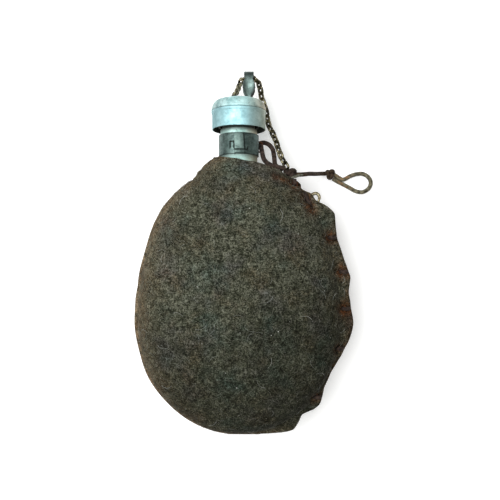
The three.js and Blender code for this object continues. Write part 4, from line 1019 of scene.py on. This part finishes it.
# Wire eye: the end of a bent brass wire that stands out of the laced lip, between two lobes. It is
# pushed in between the two panels, and its tip is filed thin.
EYE_WIRE = 2.2
EYE_LEVEL = 0.775 * LIP_ABOVE
EYE_TIP = 0.7
EYE_STRAIGHT = 0.6
eye_root = np.array((laced_edge(EYE_LEVEL), EYE_LEVEL, 0.0))
eye_path = smooth_route([eye_root + (x, y, 0) for x, y in (
    (-1.4, -0.6), (0.4, 0.3), (2.2, 0.9), (3.9, 0.1), (4.7, -1.6), (4.4, -3.4), (4, -4.8))], 0.25)
eye_radius = EYE_WIRE / 2 * np.interp(np.linspace(0, 1, len(eye_path)), (0, EYE_STRAIGHT, 1), (1, 1, EYE_TIP))
eye_metal, tree, shader = surface("brass_wire", 0.4, 0.9)
brass = ramp(tree, grain(tree, 1.5, 3), (0.35, colour(80, 69, 47)), (0.65, colour(178, 169, 140)))
finish(tree, shader, brass)
wire_eye = make_piece("wire_eye_bent", tube(eye_path, eye_radius, 12), eye_metal)
belongs(wire_eye, "bottle", "brass_wire", "wire_eye")

# Tail and hanging loop: olive cord from the shoulder knot down to the ground, a second knot in it, and
# beyond that a loop to hang the canteen by.
TAIL_CORD = 3.0
LOOP_CORD = 2.9
GROUND = -AXIS_HEIGHT * METRE
TAIL_KNOT_LEVEL = 3.4
TAIL_KNOT = np.array((64.4, 99.4, GROUND + TAIL_KNOT_LEVEL))
TAIL_KNOT_SIZE = (3.6, 4.2, 3.2)
TAIL_KNOT_STRAND = 1.3
LOOP_LEVEL = LOOP_CORD / 2 + 0.2 - TAIL_KNOT_LEVEL
tail_route = smooth_route([
    SHOULDER_KNOT + (2.4, -0.8, -0.6), SHOULDER_KNOT + (5.0, -0.8, -1), SHOULDER_KNOT + (8, -0.7, -1.3),
    TAIL_KNOT + (-17.6, -3.1, 24.4), TAIL_KNOT + (-13, -2, 15.9), TAIL_KNOT + (-9.4, -0.9, 7.9),
    TAIL_KNOT + (-6.8, -0.2, 3.3), TAIL_KNOT + (-4.2, 0.2, 0.7), TAIL_KNOT + (-2.2, 0.3, 0.2)])
loop_route = smooth_route([TAIL_KNOT + (x, y, LOOP_LEVEL) for x, y in (
    (1.8, 0.2), (4.2, -1), (6.5, -2.5), (9.2, -3.8), (11.4, -3.1), (14.3, -1.4), (19, 0.1), (23.5, 0.3),
    (27.7, -2.2), (29.3, -6.1), (27.7, -10.2), (23.2, -12.7), (18.4, -12), (14.9, -10.1), (8.3, -6.6),
    (5.3, -5.1), (4, -4.4), (2.2, -3.1))])
loop_look = cord_look("loop_cord", colour(38, 36, 26), colour(126, 120, 98), pitch=4.4, strands=2, depth=0.14,
                      stained=(9, 58))
tail_look = cord_look("tail_cord", colour(20, 15, 11), colour(74, 60, 46), pitch=4.4, strands=2, depth=0.14)
tail_knot_route = knot_route(TAIL_KNOT, TAIL_KNOT_SIZE, 2 * TAIL_KNOT_STRAND)
tail_knot = cord_piece("tail_knot_tied", tail_knot_route, TAIL_KNOT_STRAND, tail_look, joined=True)
tail = cord_piece("lace_tail_cord", tail_route, TAIL_CORD / 2, tail_look)
hang_loop = cord_piece("hang_loop_cord", loop_route, LOOP_CORD / 2, loop_look)
belongs(tail_knot, "bottle", "lace", "tail_knot")
belongs(tail, "bottle", "lace", "lace_tail")
belongs(hang_loop, "bottle", "loop_cord", "hang_loop")

# Neck band: dark sheet steel rolled round the neck. Its end is folded back at the foot into a tongue
# that stands up over a slot, and a wire staple on the laced side holds the neck lace.
BAND_FOOT = 106.9
BAND_TOP = 120.5
BAND_INNER = 12.6
BAND_OUTER = 13.2
BAND_POINTS = 241
BAND_ROWS = 41
TONGUE_HALF_WIDTH = 3.0
TONGUE_SHEET = 0.5
TONGUE_LEAN = 0.7
TONGUE_POINTS = 17
TIP_ROUND = 1.1
FOLD_LEVEL = 109.7
SLOT = (-5.2, -2.7, 110.6, 114.9)
SLOT_LINE = 0.45
# Width of the painted shade lines along the tongue and the slot
SHADE_LINE_WIDTH = 0.4
STAPLE_WIRE = 1.2
STAPLE_FOOT = BAND_OUTER + 0.3
STAPLE_REACH = BAND_OUTER + 3.9


def solidify(piece, thickness_mm, offset, bevel_mm):
    """Gives a one-sided sheet its thickness and eased edges, and keeps the result as its mesh."""
    solid = piece.modifiers.new("thickness", "SOLIDIFY")
    solid.thickness = thickness_mm * MILLIMETRE
    solid.offset = offset
    ease = piece.modifiers.new("eased", "BEVEL")
    ease.width = bevel_mm * MILLIMETRE
    ease.segments = 2
    ease.angle_limit = math.radians(50)
    made = bpy.data.meshes.new_from_object(piece.evaluated_get(bpy.context.evaluated_depsgraph_get()))
    piece.modifiers.clear()
    piece.data = made


def band_sheet():
    """The band as one surface round the neck, with its slot cut out but for a tab that lies in it."""
    left, right, low, high = SLOT
    cuts = np.array((left, left + SLOT_LINE, right - SLOT_LINE, right))
    turns = np.concatenate([np.linspace(-math.pi, math.pi, BAND_POINTS), np.arcsin(cuts / BAND_INNER)])
    turns = np.unique(turns)[:-1]
    levels = np.concatenate([np.linspace(BAND_FOOT, BAND_TOP, BAND_ROWS), (low, high, high - SLOT_LINE)])
    levels = np.unique(levels)
    around = [(BAND_INNER * math.sin(t), BAND_INNER * math.cos(t)) for t in turns]
    points = np.array([(x, y, z) for y in levels for x, z in around])
    count = len(turns)
    faces = []
    for j in range(len(levels) - 1):
        for i in range(count):
            x, y = BAND_INNER * math.sin(turns[i] + 1e-4), (levels[j] + levels[j + 1]) / 2
            in_slot = left <= x <= right and low < y < high
            on_tab = cuts[1] <= x <= cuts[2] and y < high - SLOT_LINE
            if math.cos(turns[i]) > 0 and in_slot and not on_tab:
                continue
            k = (i + 1) % count
            faces.append((j * count + i, j * count + k, (j + 1) * count + k, (j + 1) * count + i))
    # Painted shade with dirt along the tongue's outline and the slot's edges, and painted shade along the band's
    # top and foot
    side = TONGUE_HALF_WIDTH + 0.2
    lines = [((TONGUE_LEAN - side, FOLD_LEVEL), (TONGUE_LEAN - side, high)),
             ((TONGUE_LEAN + side, FOLD_LEVEL), (side, BAND_TOP)),
             ((side, FOLD_LEVEL), (side + 2.2, FOLD_LEVEL)),
             ((side + 2.2, FOLD_LEVEL), (side + 2.6, FOLD_LEVEL + 1.8)),
             ((left, low), (left, high)), ((left, high), (right, high))]
    dirt = beside_lines(points, lines, SHADE_LINE_WIDTH) * (points[:, 2] > 0)
    edge = np.minimum(points[:, 1] - BAND_FOOT, BAND_TOP - points[:, 1])
    return points, faces, np.maximum(dirt, stain(edge, strength=0.8, reach=0.35))


def tongue_sheet():
    """The tongue: a round bulge at the band's foot, a sharp fold, and a flat end up over the band's top."""
    # How far out from the band, level, and share of dirt and painted shade, darkest in the crease at the foot
    # and in the fold
    profile = [(-0.1, BAND_FOOT + 0.1, 0.9), (0.6, BAND_FOOT + 0.2, 0.3), (1.05, BAND_FOOT + 0.9, 0),
               (1.1, BAND_FOOT + 1.6, 0), (0.8, FOLD_LEVEL - 0.3, 0.3), (0.1, FOLD_LEVEL - 0.1, 1),
               (0.1, FOLD_LEVEL + 0.1, 1), (0.8, FOLD_LEVEL + 0.2, 0.5), (0.9, FOLD_LEVEL + 0.7, 0)]
    profile += [(0.75, y, 0) for y in np.linspace(FOLD_LEVEL + 2, BAND_TOP - 0.4, 9)]
    points, dirt = [], []
    for k, (out, y, dirty) in enumerate(profile):
        lean = TONGUE_LEAN * min(1, (BAND_TOP - y) / (BAND_TOP - FOLD_LEVEL))
        for share in np.linspace(-1, 1, TONGUE_POINTS):
            drop = TIP_ROUND * abs(share) ** 3 if k == len(profile) - 1 else 0
            t = (share * TONGUE_HALF_WIDTH + lean) / BAND_OUTER
            radius = BAND_OUTER + out - 0.25 * max(0, abs(share) - 0.8)
            points.append((radius * math.sin(t), y - drop, radius * math.cos(t)))
            # Painted shade along the tongue's side edges
            dirt.append(max(dirty, 0.5 * (abs(share) > 0.95)))
    return points, grid_faces(len(profile), TONGUE_POINTS), dirt


def dark_steel_look(name, dark, pale, roughness):
    """Tarnished sheet steel, rubbed bright in places, with dirt and painted shade along its lines, creases and
    edges.
    """
    material, tree, shader = surface(name, roughness, 0.9)
    shade = ramp(tree, grain(tree, 4, 5, 0.65), (0.36, dark), (0.64, pale))
    rub = ramp(tree, grain(tree, 1.1, 3, 0.6, (4, 1, 4)), (0.6, 0.0), (0.75, 0.3))
    shade = mix(tree, rub, shade, colour(168, 184, 176))
    # Dirt and painted shade along lines, creases and edges
    shade = mix(tree, field(tree, "dirt"), shade, colour(14, 15, 12))
    finish(tree, shader, shade, grain(tree, 0.8, 4, 0.6), 0.05)
    return material


def sheet_piece(name, shape, material, thickness, offset, bevel):
    """A piece of bent sheet metal from its points, faces and dirt."""
    points, faces, dirt = shape
    piece = make_piece(name, (points, faces), material, dirt=dirt)
    solidify(piece, thickness, offset, bevel)
    piece.data.polygons.foreach_set("use_smooth", [True] * len(piece.data.polygons))
    piece.data.set_sharp_from_angle(angle=math.radians(45))
    return piece


band_steel = dark_steel_look("band_steel", colour(56, 70, 68), colour(100, 119, 115), 0.5)
tongue_steel = dark_steel_look("tongue_steel", colour(72, 88, 84), colour(112, 131, 126), 0.55)
band = sheet_piece("neck_band_ring", band_sheet(), band_steel, BAND_OUTER - BAND_INNER, offset=1, bevel=0.1)
tongue = sheet_piece("neck_band_tongue", tongue_sheet(), tongue_steel, TONGUE_SHEET, offset=-1, bevel=0.12)
belongs(band, "bottle", "dark_steel", "neck_band")
belongs(tongue, "bottle", "dark_steel", "neck_band")
staple_route = [beside_neck(radius, STAPLE_LEVEL + up, STAPLE_ANGLE) for radius, up in (
    (STAPLE_FOOT, -3.2), (STAPLE_REACH - 1, -3.2), (STAPLE_REACH, -2.2), (STAPLE_REACH, 2.2),
    (STAPLE_REACH - 1, 3.2), (STAPLE_FOOT, 3.2))]
staple = make_piece("band_staple_wire", tube(smooth_route(staple_route, 0.3), STAPLE_WIRE / 2, 10), rust)
belongs(staple, "bottle", "dark_steel", "band_staple")

# Cap: a skirt and a crown pressed over it, both spun from aluminium, with a bead on each side of the
# seam. Inside, a threaded bush with a rubber washer is held by its flange between the two.
CAP_RADIUS = 18.0
CAP_SIDE = 17.6
RIM_LEVEL = 124.4
SKIRT_INNER = 16.7
SKIRT_BEAD = (134.3, 135.1, 136.4)
TUCK = (15.2, 16.1)
TUCK_FOOT = 135.5
TUCK_TOP = 138.4
SEAM_LEVEL = 136.7
CROWN_BEAD = (138.0, 138.8)
CROWN_INNER = 16.4
CROWN_INNER_SIDE = 140.0
CROWN_TOP = 143.3
CROWN_INSIDE = 142.1
CROWN_FLAT_RADIUS = 14.2
CROWN_INNER_FLAT_RADIUS = 13.0
CROWN_BEVEL = 1.2
RIVET_HOLE = 2.3
PLATE_FOOT = 138.7
PLATE_TOP = 139.7
PLATE_RADIUS = 16.1
BUSH_FOOT = 126.1
BUSH_BORE = 12.4
BUSH_OUTER = 13.4
WASHER_FOOT = 136.8
WASHER_TOP = 138.4
WASHER_RADIUS = 12.1
ON_AXIS = 0.01
CAP_SEGMENTS = 112
CAP_CREASE = 35
CAP_SEED = 4.0
DENT_SIZE = 9.0


def eased(outline, radius, steps=3):
    """A closed outline with its corners rounded."""
    shares = np.linspace(0, 1, steps + 1)
    soft = []
    for k in range(len(outline)):
        before, corner, after = (np.array(outline[(k + d) % len(outline)], float) for d in (-1, 0, 1))
        back, ahead = before - corner, after - corner
        reach = min(radius, 0.45 * np.linalg.norm(back), 0.45 * np.linalg.norm(ahead))
        start = corner + back / np.linalg.norm(back) * reach
        end = corner + ahead / np.linalg.norm(ahead) * reach
        soft += [(1 - t) ** 2 * start + 2 * t * (1 - t) * corner + t * t * end for t in shares]
    return soft


def turned(outline, segments, dents=0.0):
    """A closed outline of radius and level turned round the neck's axis; dents make it a little uneven."""
    angles = np.linspace(0, 2 * math.pi, segments, endpoint=False)
    rings = []
    for radius, level in outline:
        levels = np.full(segments, float(level))
        ring = np.stack([radius * np.sin(angles), levels, radius * np.cos(angles)], axis=1)
        if dents:
            ring[:, [0, 2]] *= 1 + dents / max(radius, 1) * lumps(ring, DENT_SIZE, CAP_SEED)[:, None]
        rings.append(ring)
    return loft(np.array(rings), True)


def corner_arc(wide, low, narrow, high):
    """The crown's rounded shoulder, from its side to its flat top."""
    arc = []
    for t in np.linspace(0, math.pi / 2, 9):
        out, up = max(0, math.cos(t)) ** CROWN_BEVEL, math.sin(t) ** CROWN_BEVEL
        arc.append((narrow + (wide - narrow) * out, low + (high - low) * up))
    return arc


skirt_metal = aluminium_look("cap_aluminium", colour(186, 227, 233), colour(156, 194, 199),
                             roughness=0.64, scratch=0.03, dirty=0.35)
crown_metal = aluminium_look("crown_aluminium", colour(214, 241, 241), colour(170, 203, 204),
                             roughness=0.76, scratch=0.04, dirty=0.6)
bead_foot, bead_start, skirt_top = SKIRT_BEAD
skirt_outline = eased([
    (CAP_SIDE, RIM_LEVEL), (CAP_SIDE, bead_foot), (CAP_RADIUS, bead_start), (CAP_RADIUS, skirt_top),
    (TUCK[1], skirt_top), (TUCK[1], TUCK_TOP), (TUCK[0], TUCK_TOP), (TUCK[0], TUCK_FOOT),
    (SKIRT_INNER, TUCK_FOOT), (SKIRT_INNER, RIM_LEVEL)], 0.2)
crown_outline = eased(
    [(CROWN_INNER, SEAM_LEVEL), (CAP_RADIUS, SEAM_LEVEL), (CAP_RADIUS, CROWN_BEAD[0])]
    + corner_arc(CAP_SIDE, CROWN_BEAD[1], CROWN_FLAT_RADIUS, CROWN_TOP)
    + [(RIVET_HOLE, CROWN_TOP), (RIVET_HOLE, CROWN_INSIDE)]
    + corner_arc(CROWN_INNER, CROWN_INNER_SIDE, CROWN_INNER_FLAT_RADIUS, CROWN_INSIDE)[::-1], 0.15, 2)
bush_outline = [
    (ON_AXIS, PLATE_FOOT), (BUSH_BORE, PLATE_FOOT), (BUSH_BORE, BUSH_FOOT), (BUSH_OUTER, BUSH_FOOT),
    (BUSH_OUTER, PLATE_FOOT), (PLATE_RADIUS, PLATE_FOOT), (PLATE_RADIUS, PLATE_TOP), (ON_AXIS, PLATE_TOP)]
# The last value is the radius inside which the metal is darkened with painted shade and tarnish
for piece_name, node, outline, metal, dents, shell in (
        ("cap_skirt_spun", "cap_skirt", skirt_outline, skirt_metal, 0.12, 17.3),
        ("cap_crown_spun", "cap_crown", crown_outline, crown_metal, 0.1, 0),
        ("cap_bush_turned", "cap_bush", bush_outline, skirt_metal, 0.0, CAP_RADIUS)):
    inside = np.repeat([float(radius < shell) for radius, _ in outline], CAP_SEGMENTS)
    shape = turned(outline, CAP_SEGMENTS, dents)
    aside = 0.5 + 0.5 * np.array(shape[0])[:, 0] / CAP_RADIUS
    piece = make_piece(piece_name, shape, metal, CAP_CREASE, inside=inside, aside=aside)
    belongs(piece, "cap", "aluminium", node)
rubber, tree, shader = surface("rubber", 0.85)
finish(tree, shader, ramp(tree, grain(tree, 2), (0.3, colour(30, 27, 25)), (0.7, colour(52, 47, 43))))
washer_outline = eased([(ON_AXIS, WASHER_FOOT), (WASHER_RADIUS, WASHER_FOOT), (WASHER_RADIUS, WASHER_TOP),
                        (ON_AXIS, WASHER_TOP)], 0.2)
washer = make_piece("cap_gasket_disc", turned(washer_outline, CAP_SEGMENTS), rubber, CAP_CREASE)
belongs(washer, "cap", "rubber", "cap_gasket")

# Shackle: one strip of sheet steel bent into an upright loop, its wide leaf dished by wear, on a foot
# that swivels on a rivet in the crown.
SHACKLE_FOOT = 143.6
SHACKLE_TOP = 163.0
SHACKLE_WALL = 1.2
SHACKLE_HALF_DEPTH = 5.4
SHACKLE_OFFSET = 6.7
BEND = 0.8
FOOT_END = 4.6
FOOT_HALF_WIDTH = 4.1
FOOT_FAR_END = 10.0
FOOT_SIDES = 48
LEAF_LEVEL = 151.6
LEAF_HOLLOW = 1.1
HOLLOW_HALF_HEIGHT = 4.2
LEAF_POINTS = 15
# Levels over which the top bar darkens with dirt and painted shade
BAR_SHADE = (155.5, 157.5)
# Half the strip's width at shares of its height: a narrow stem, an oval leaf, a waist and an even bar
STRIP_SHARES = (0, 0.11, 0.164, 0.22, 0.28, 0.344, 0.41, 0.575, 0.64, 0.69, 0.76)
STRIP_HALF_WIDTHS = (1.2, 1.2, 1.96, 2.62, 3.2, 3.7, 4.1, 3.7, 3.2, 2.5, 3.2)
RIVET_FOOT = 140.5
RIVET_SEAT = 141.8
RIVET_SHANK = 2.0
RIVET_INNER_HEAD = 4.2
RIVET_HEAD_FOOT = 145.1
RIVET_DOME = ((3.4, 0), (3.2, 0.6), (2.4, 1.1), (1.2, 1.3), (ON_AXIS, 1.3))


def shackle_sheet():
    """The strip's middle surface: from the foot up the front, over the top and down the back."""
    half = SHACKLE_HALF_DEPTH - SHACKLE_WALL / 2
    low, bend = SHACKLE_FOOT + SHACKLE_WALL / 2, SHACKLE_TOP - SHACKLE_HALF_DEPTH
    line = [(y, half) for y in np.linspace(low + BEND, bend, 22)]
    line += [(bend + half * math.sin(t), half * math.cos(t)) for t in np.linspace(0, math.pi, 19)[1:-1]]
    line += [(y, -half) for y in np.linspace(bend, low + BEND, 22)]
    line = [(low, half - BEND)] + line + [(low, BEND - half)]
    points, dirt = [], []
    for y, z in line:
        width = np.interp((y - SHACKLE_FOOT) / (SHACKLE_TOP - SHACKLE_FOOT), STRIP_SHARES, STRIP_HALF_WIDTHS)
        hollow = LEAF_HOLLOW * math.exp(-((y - LEAF_LEVEL) / HOLLOW_HALF_HEIGHT) ** 2)
        hollow *= 1 if z > half - 0.1 else 0.3
        # Dirt and painted shade: the top bar and the leaf's edges darker, the back leg dark
        bar = 0.55 * float(smooth_step(y, *BAR_SHADE))
        for share in np.linspace(-1, 1, LEAF_POINTS):
            dished = z - math.copysign(hollow * (1 - share * share), z)
            points.append((SHACKLE_OFFSET + width * share, y, dished))
            dirt.append(max(bar, 0.75 * abs(share) ** 4) if z > 0 else 0.7)
    return points, grid_faces(len(line), LEAF_POINTS), dirt


def foot_sheet():
    """The foot: a flat plate from the loop to the rivet, rounded at its end, with the rivet's hole."""
    points = []
    for k in range(2 * FOOT_SIDES):
        t = 2 * math.pi * k / FOOT_SIDES
        reach = FOOT_HALF_WIDTH / max(abs(math.sin(t)), 1e-6)
        reach = min(reach, FOOT_END if math.cos(t) < 0 else FOOT_FAR_END / max(math.cos(t), 1e-6))
        radius = RIVET_HOLE if k < FOOT_SIDES else reach
        points.append((radius * math.cos(t), SHACKLE_FOOT + SHACKLE_WALL / 2, radius * math.sin(t)))
    faces = []
    for i in range(FOOT_SIDES):
        k = (i + 1) % FOOT_SIDES
        faces.append((i, k, FOOT_SIDES + k, FOOT_SIDES + i))
    # The foot is darkened all over with dirt and painted shade, under the loop
    return points, faces, [0.6] * len(points)


shackle_steel = dark_steel_look("shackle_steel", colour(78, 93, 90), colour(124, 144, 140), roughness=0.48)
loop = sheet_piece("shackle_loop_strip", shackle_sheet(), shackle_steel, SHACKLE_WALL, offset=0, bevel=0.3)
foot = sheet_piece("shackle_foot_plate", foot_sheet(), shackle_steel, SHACKLE_WALL, offset=0, bevel=0.2)
belongs(loop, "shackle", "dark_steel", "cap_shackle")
belongs(foot, "shackle", "dark_steel", "cap_shackle")
rivet_outline = [
    (ON_AXIS, RIVET_FOOT), (RIVET_INNER_HEAD, RIVET_FOOT), (RIVET_INNER_HEAD, RIVET_SEAT),
    (RIVET_SHANK, RIVET_SEAT), (RIVET_SHANK, RIVET_HEAD_FOOT)]
rivet_outline += [(radius, RIVET_HEAD_FOOT + up) for radius, up in RIVET_DOME]
rivet = make_piece("shackle_rivet_headed", turned(rivet_outline, 40), shackle_steel, CAP_CREASE)
belongs(rivet, "shackle", "dark_steel", "shackle_rivet")

# Chain: 28 round-wire links from the shoulder knot past the cap, through the shackle and down to the
# ground, where a ring keeps its end from slipping back.
CHAIN_LINKS = 28
LINK_WIDTH = 4.8
LINK_WIRE = 1.2
LINK_WEAR = 0.45
LINK_SLACK = 0.5
END_RING = 3.6
END_RING_SINK = 0.3
TUNNEL = np.array((SHACKLE_OFFSET, 158.8, -1.5))
FLOOR_LINK = GROUND + LINK_WIDTH / 2
chain_route = smooth_route([
    SHOULDER_KNOT + (-1.9, 3.4, -0.2), SHOULDER_KNOT + (-5.9, 11.7, -2.6), SHOULDER_KNOT + (-9.6, 23.7, -6.4),
    beside_neck(21.4, 130.55, -0.39), beside_neck(21.4, 140.3, -0.55), beside_neck(19.0, 148.8, -0.63),
    TUNNEL + (7.5, -4.5, -6.2), TUNNEL + (5.6, -1.3, -1.6), TUNNEL + (2.6, 0, 0), TUNNEL + (-2.6, 0, 0),
    TUNNEL + (-5, -1.1, -1.7), TUNNEL + (-6.4, -2.5, -6.1), TUNNEL + (-7.8, -3.4, -15),
    TUNNEL + (-9.6, -3.8, -22.8), (TUNNEL[0] - 11.2, TUNNEL[1] - 5.4, FLOOR_LINK + 1.7),
    (TUNNEL[0] - 12.6, TUNNEL[1] - 9, FLOOR_LINK + 0.1), (TUNNEL[0] - 13.6, TUNNEL[1] - 13, FLOOR_LINK)], 0.3)


def chain_tree():
    """Links along a curve, each turned a quarter against the last."""
    tree, given, out = geometry_tree("chain", Links="Int", Straight="Float", Width="Float", Wire="Float",
                                     Material="Material")
    half_step = math_node(tree, "DIVIDE", 0.5, given["Links"])
    trimmed = add(tree, "GeometryNodeTrimCurve", {"mode": "FACTOR"}, Curve=given["Geometry"])
    tree.links.new(half_step, trimmed.inputs["Start"])
    tree.links.new(math_node(tree, "SUBTRACT", 1.0, half_step), trimmed.inputs["End"])
    spots = add(tree, "GeometryNodeCurveToPoints", {"mode": "COUNT"}, Curve=trimmed.outputs[0],
                Count=given["Links"])
    middle = math_node(tree, "MULTIPLY", math_node(tree, "SUBTRACT", given["Width"], given["Wire"]), 0.5)
    ring = add(tree, "GeometryNodeCurvePrimitiveCircle", Resolution=24, Radius=middle).outputs[0]
    place = add(tree, "GeometryNodeInputPosition").outputs[0]
    side = math_node(tree, "SIGN", add(tree, "ShaderNodeSeparateXYZ", Vector=place).outputs["Y"])
    reach = math_node(tree, "MULTIPLY", side, math_node(tree, "MULTIPLY", given["Straight"], 0.5))
    shift = add(tree, "ShaderNodeCombineXYZ", Y=reach).outputs[0]
    oval = add(tree, "GeometryNodeSetPosition", Geometry=ring, Offset=shift).outputs[0]
    section = add(tree, "GeometryNodeCurvePrimitiveCircle", Resolution=10,
                  Radius=math_node(tree, "MULTIPLY", given["Wire"], 0.5)).outputs[0]
    link = add(tree, "GeometryNodeCurveToMesh", Curve=oval, Profile_Curve=section).outputs[0]
    link = add(tree, "GeometryNodeTransform", Geometry=link, Rotation=(math.pi / 2, 0, 0)).outputs[0]
    odd = math_node(tree, "MODULO", add(tree, "GeometryNodeInputIndex").outputs[0], 2.0)
    roll = math_node(tree, "MULTIPLY_ADD", odd, math.pi / 2, -math.pi / 4)
    roll = add(tree, "ShaderNodeCombineXYZ", Z=roll).outputs[0]
    roll = add(tree, "FunctionNodeEulerToRotation", Euler=roll).outputs[0]
    turn = add(tree, "FunctionNodeRotateRotation", {"rotation_space": "LOCAL"},
               Rotation=spots.outputs["Rotation"], Rotate_By=roll).outputs[0]
    place_instances(tree, spots.outputs[0], link, turn, given["Material"], out)
    return tree


chain_line = bpy.data.curves.new("chain_line", "CURVE")
chain_line.dimensions = "3D"
strand = chain_line.splines.new("POLY")
strand.points.add(len(chain_route) - 1)
for point, at in zip(strand.points, in_frame(chain_route)):
    point.co = (*at, 1)
chain_steel, tree, shader = surface("chain_steel", 0.36, 0.95)
worn_spots = ramp(tree, grain(tree, 2.6, 4, 0.65), (0.42, colour(20, 18, 12)), (0.64, colour(154, 146, 117)))
finish(tree, shader, worn_spots, grain(tree, 0.8, 3, 0.6), 0.06)
pitch = run_along(chain_route)[-1] / CHAIN_LINKS
straight = pitch + 2 * LINK_WIRE - LINK_WIDTH + LINK_SLACK
chain = grow("chain_links", chain_line, chain_tree(), Links=CHAIN_LINKS, Straight=straight * MILLIMETRE,
             Width=LINK_WIDTH * MILLIMETRE, Wire=(LINK_WIRE + LINK_WEAR) * MILLIMETRE, Material=chain_steel)
ring_turn = np.linspace(0, 2 * math.pi, 64, endpoint=False)
tip = math.asin((LINK_WIDTH - LINK_WIRE - END_RING_SINK) / 4 / END_RING)
ring_path = np.stack([END_RING * np.cos(ring_turn), END_RING * math.cos(tip) * np.sin(ring_turn),
                      END_RING * math.sin(tip) * np.sin(ring_turn)], axis=1)
ring_path += chain_route[-1] + (-0.1, -2.15, -0.85)
end_ring = make_piece("chain_end_ring_bent", tube(ring_path, LINK_WIRE / 2, 10, joined=True), chain_steel)
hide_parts(*(f"chain_link_{k + 1:02d}" for k in range(CHAIN_LINKS)))
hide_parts("chain_end_ring")
for piece in (chain, end_ring):
    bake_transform(piece)

# Light and ground: a plain pale table that the canteen lies on, in a soft bright room, with one large
# soft lamp above it, a little to the left. The table shows nearly white and keeps the shadow.
FLOOR_HALF_SIZE = 6.0
FLOOR_LEVEL = -0.0002
FLOOR_SHADE = (0.86, 0.86, 0.86, 1)
FLOOR_GLOW = 0.34
# The room's light from the horizon up, and its tint from left to right
ROOM_SHADES = (0.0, (0.4, 0.36, 0.3, 1)), (0.3, (0.5, 0.49, 0.47, 1)), (0.8, (0.66, 0.7, 0.71, 1))
ROOM_SIDES = (0.2, (1.1, 1.1, 1.1, 1)), (0.85, (0.6, 0.55, 0.5, 1))
ROOM_STRENGTH = 0.9
LAMP_SIZE = 0.6
LAMP_POWER = 7.0
LAMP_AT = (-0.24, 0.14, 0.78)
LAMP_AIM = (0.0, 0.04, 0.03)
floor_mesh = bpy.data.meshes.new("floor")
floor_corners = [(x * FLOOR_HALF_SIZE, y * FLOOR_HALF_SIZE, FLOOR_LEVEL)
                 for x, y in ((-1, -1), (1, -1), (1, 1), (-1, 1))]
floor_mesh.from_pydata(floor_corners, [], [(0, 1, 2, 3)])
floor = bpy.data.objects.new("floor", floor_mesh)
scene.collection.objects.link(floor)
floor_paint, tree, shader = surface("floor", 0.9)
shader.inputs["Base Color"].default_value = FLOOR_SHADE
shader.inputs["Specular IOR Level"].default_value = 0.0
rays = add(tree, "ShaderNodeLightPath").outputs
shown = math_node(tree, "MAXIMUM", rays["Is Camera Ray"], rays["Is Glossy Ray"])
tree.links.new(math_node(tree, "MULTIPLY", shown, FLOOR_GLOW), shader.inputs["Emission Strength"])
shader.inputs["Emission Color"].default_value = (1, 1, 1, 1)
floor_mesh.materials.append(floor_paint)

room = bpy.data.worlds.new("room")
scene.world = room
room.use_nodes = True
tree = room.node_tree
toward = add(tree, "ShaderNodeTexCoord").outputs["Generated"]
toward = add(tree, "ShaderNodeSeparateXYZ", Vector=toward).outputs
sideways = math_node(tree, "MULTIPLY_ADD", toward["X"], 0.5, 0.5)
sky = tinted(tree, ramp(tree, toward["Z"], *ROOM_SHADES), ramp(tree, sideways, *ROOM_SIDES))
tree.links.new(sky, tree.nodes["Background"].inputs["Color"])
tree.nodes["Background"].inputs["Strength"].default_value = ROOM_STRENGTH
lamp_data = bpy.data.lights.new("window", "AREA")
lamp_data.shape = "DISK"
lamp_data.size = LAMP_SIZE
lamp_data.energy = LAMP_POWER
lamp = bpy.data.objects.new("window", lamp_data)
lamp.location = LAMP_AT
lamp.rotation_mode = "QUATERNION"
lamp.rotation_quaternion = (Vector(LAMP_AIM) - lamp.location).to_track_quat("-Z", "Y")
scene.collection.objects.link(lamp)
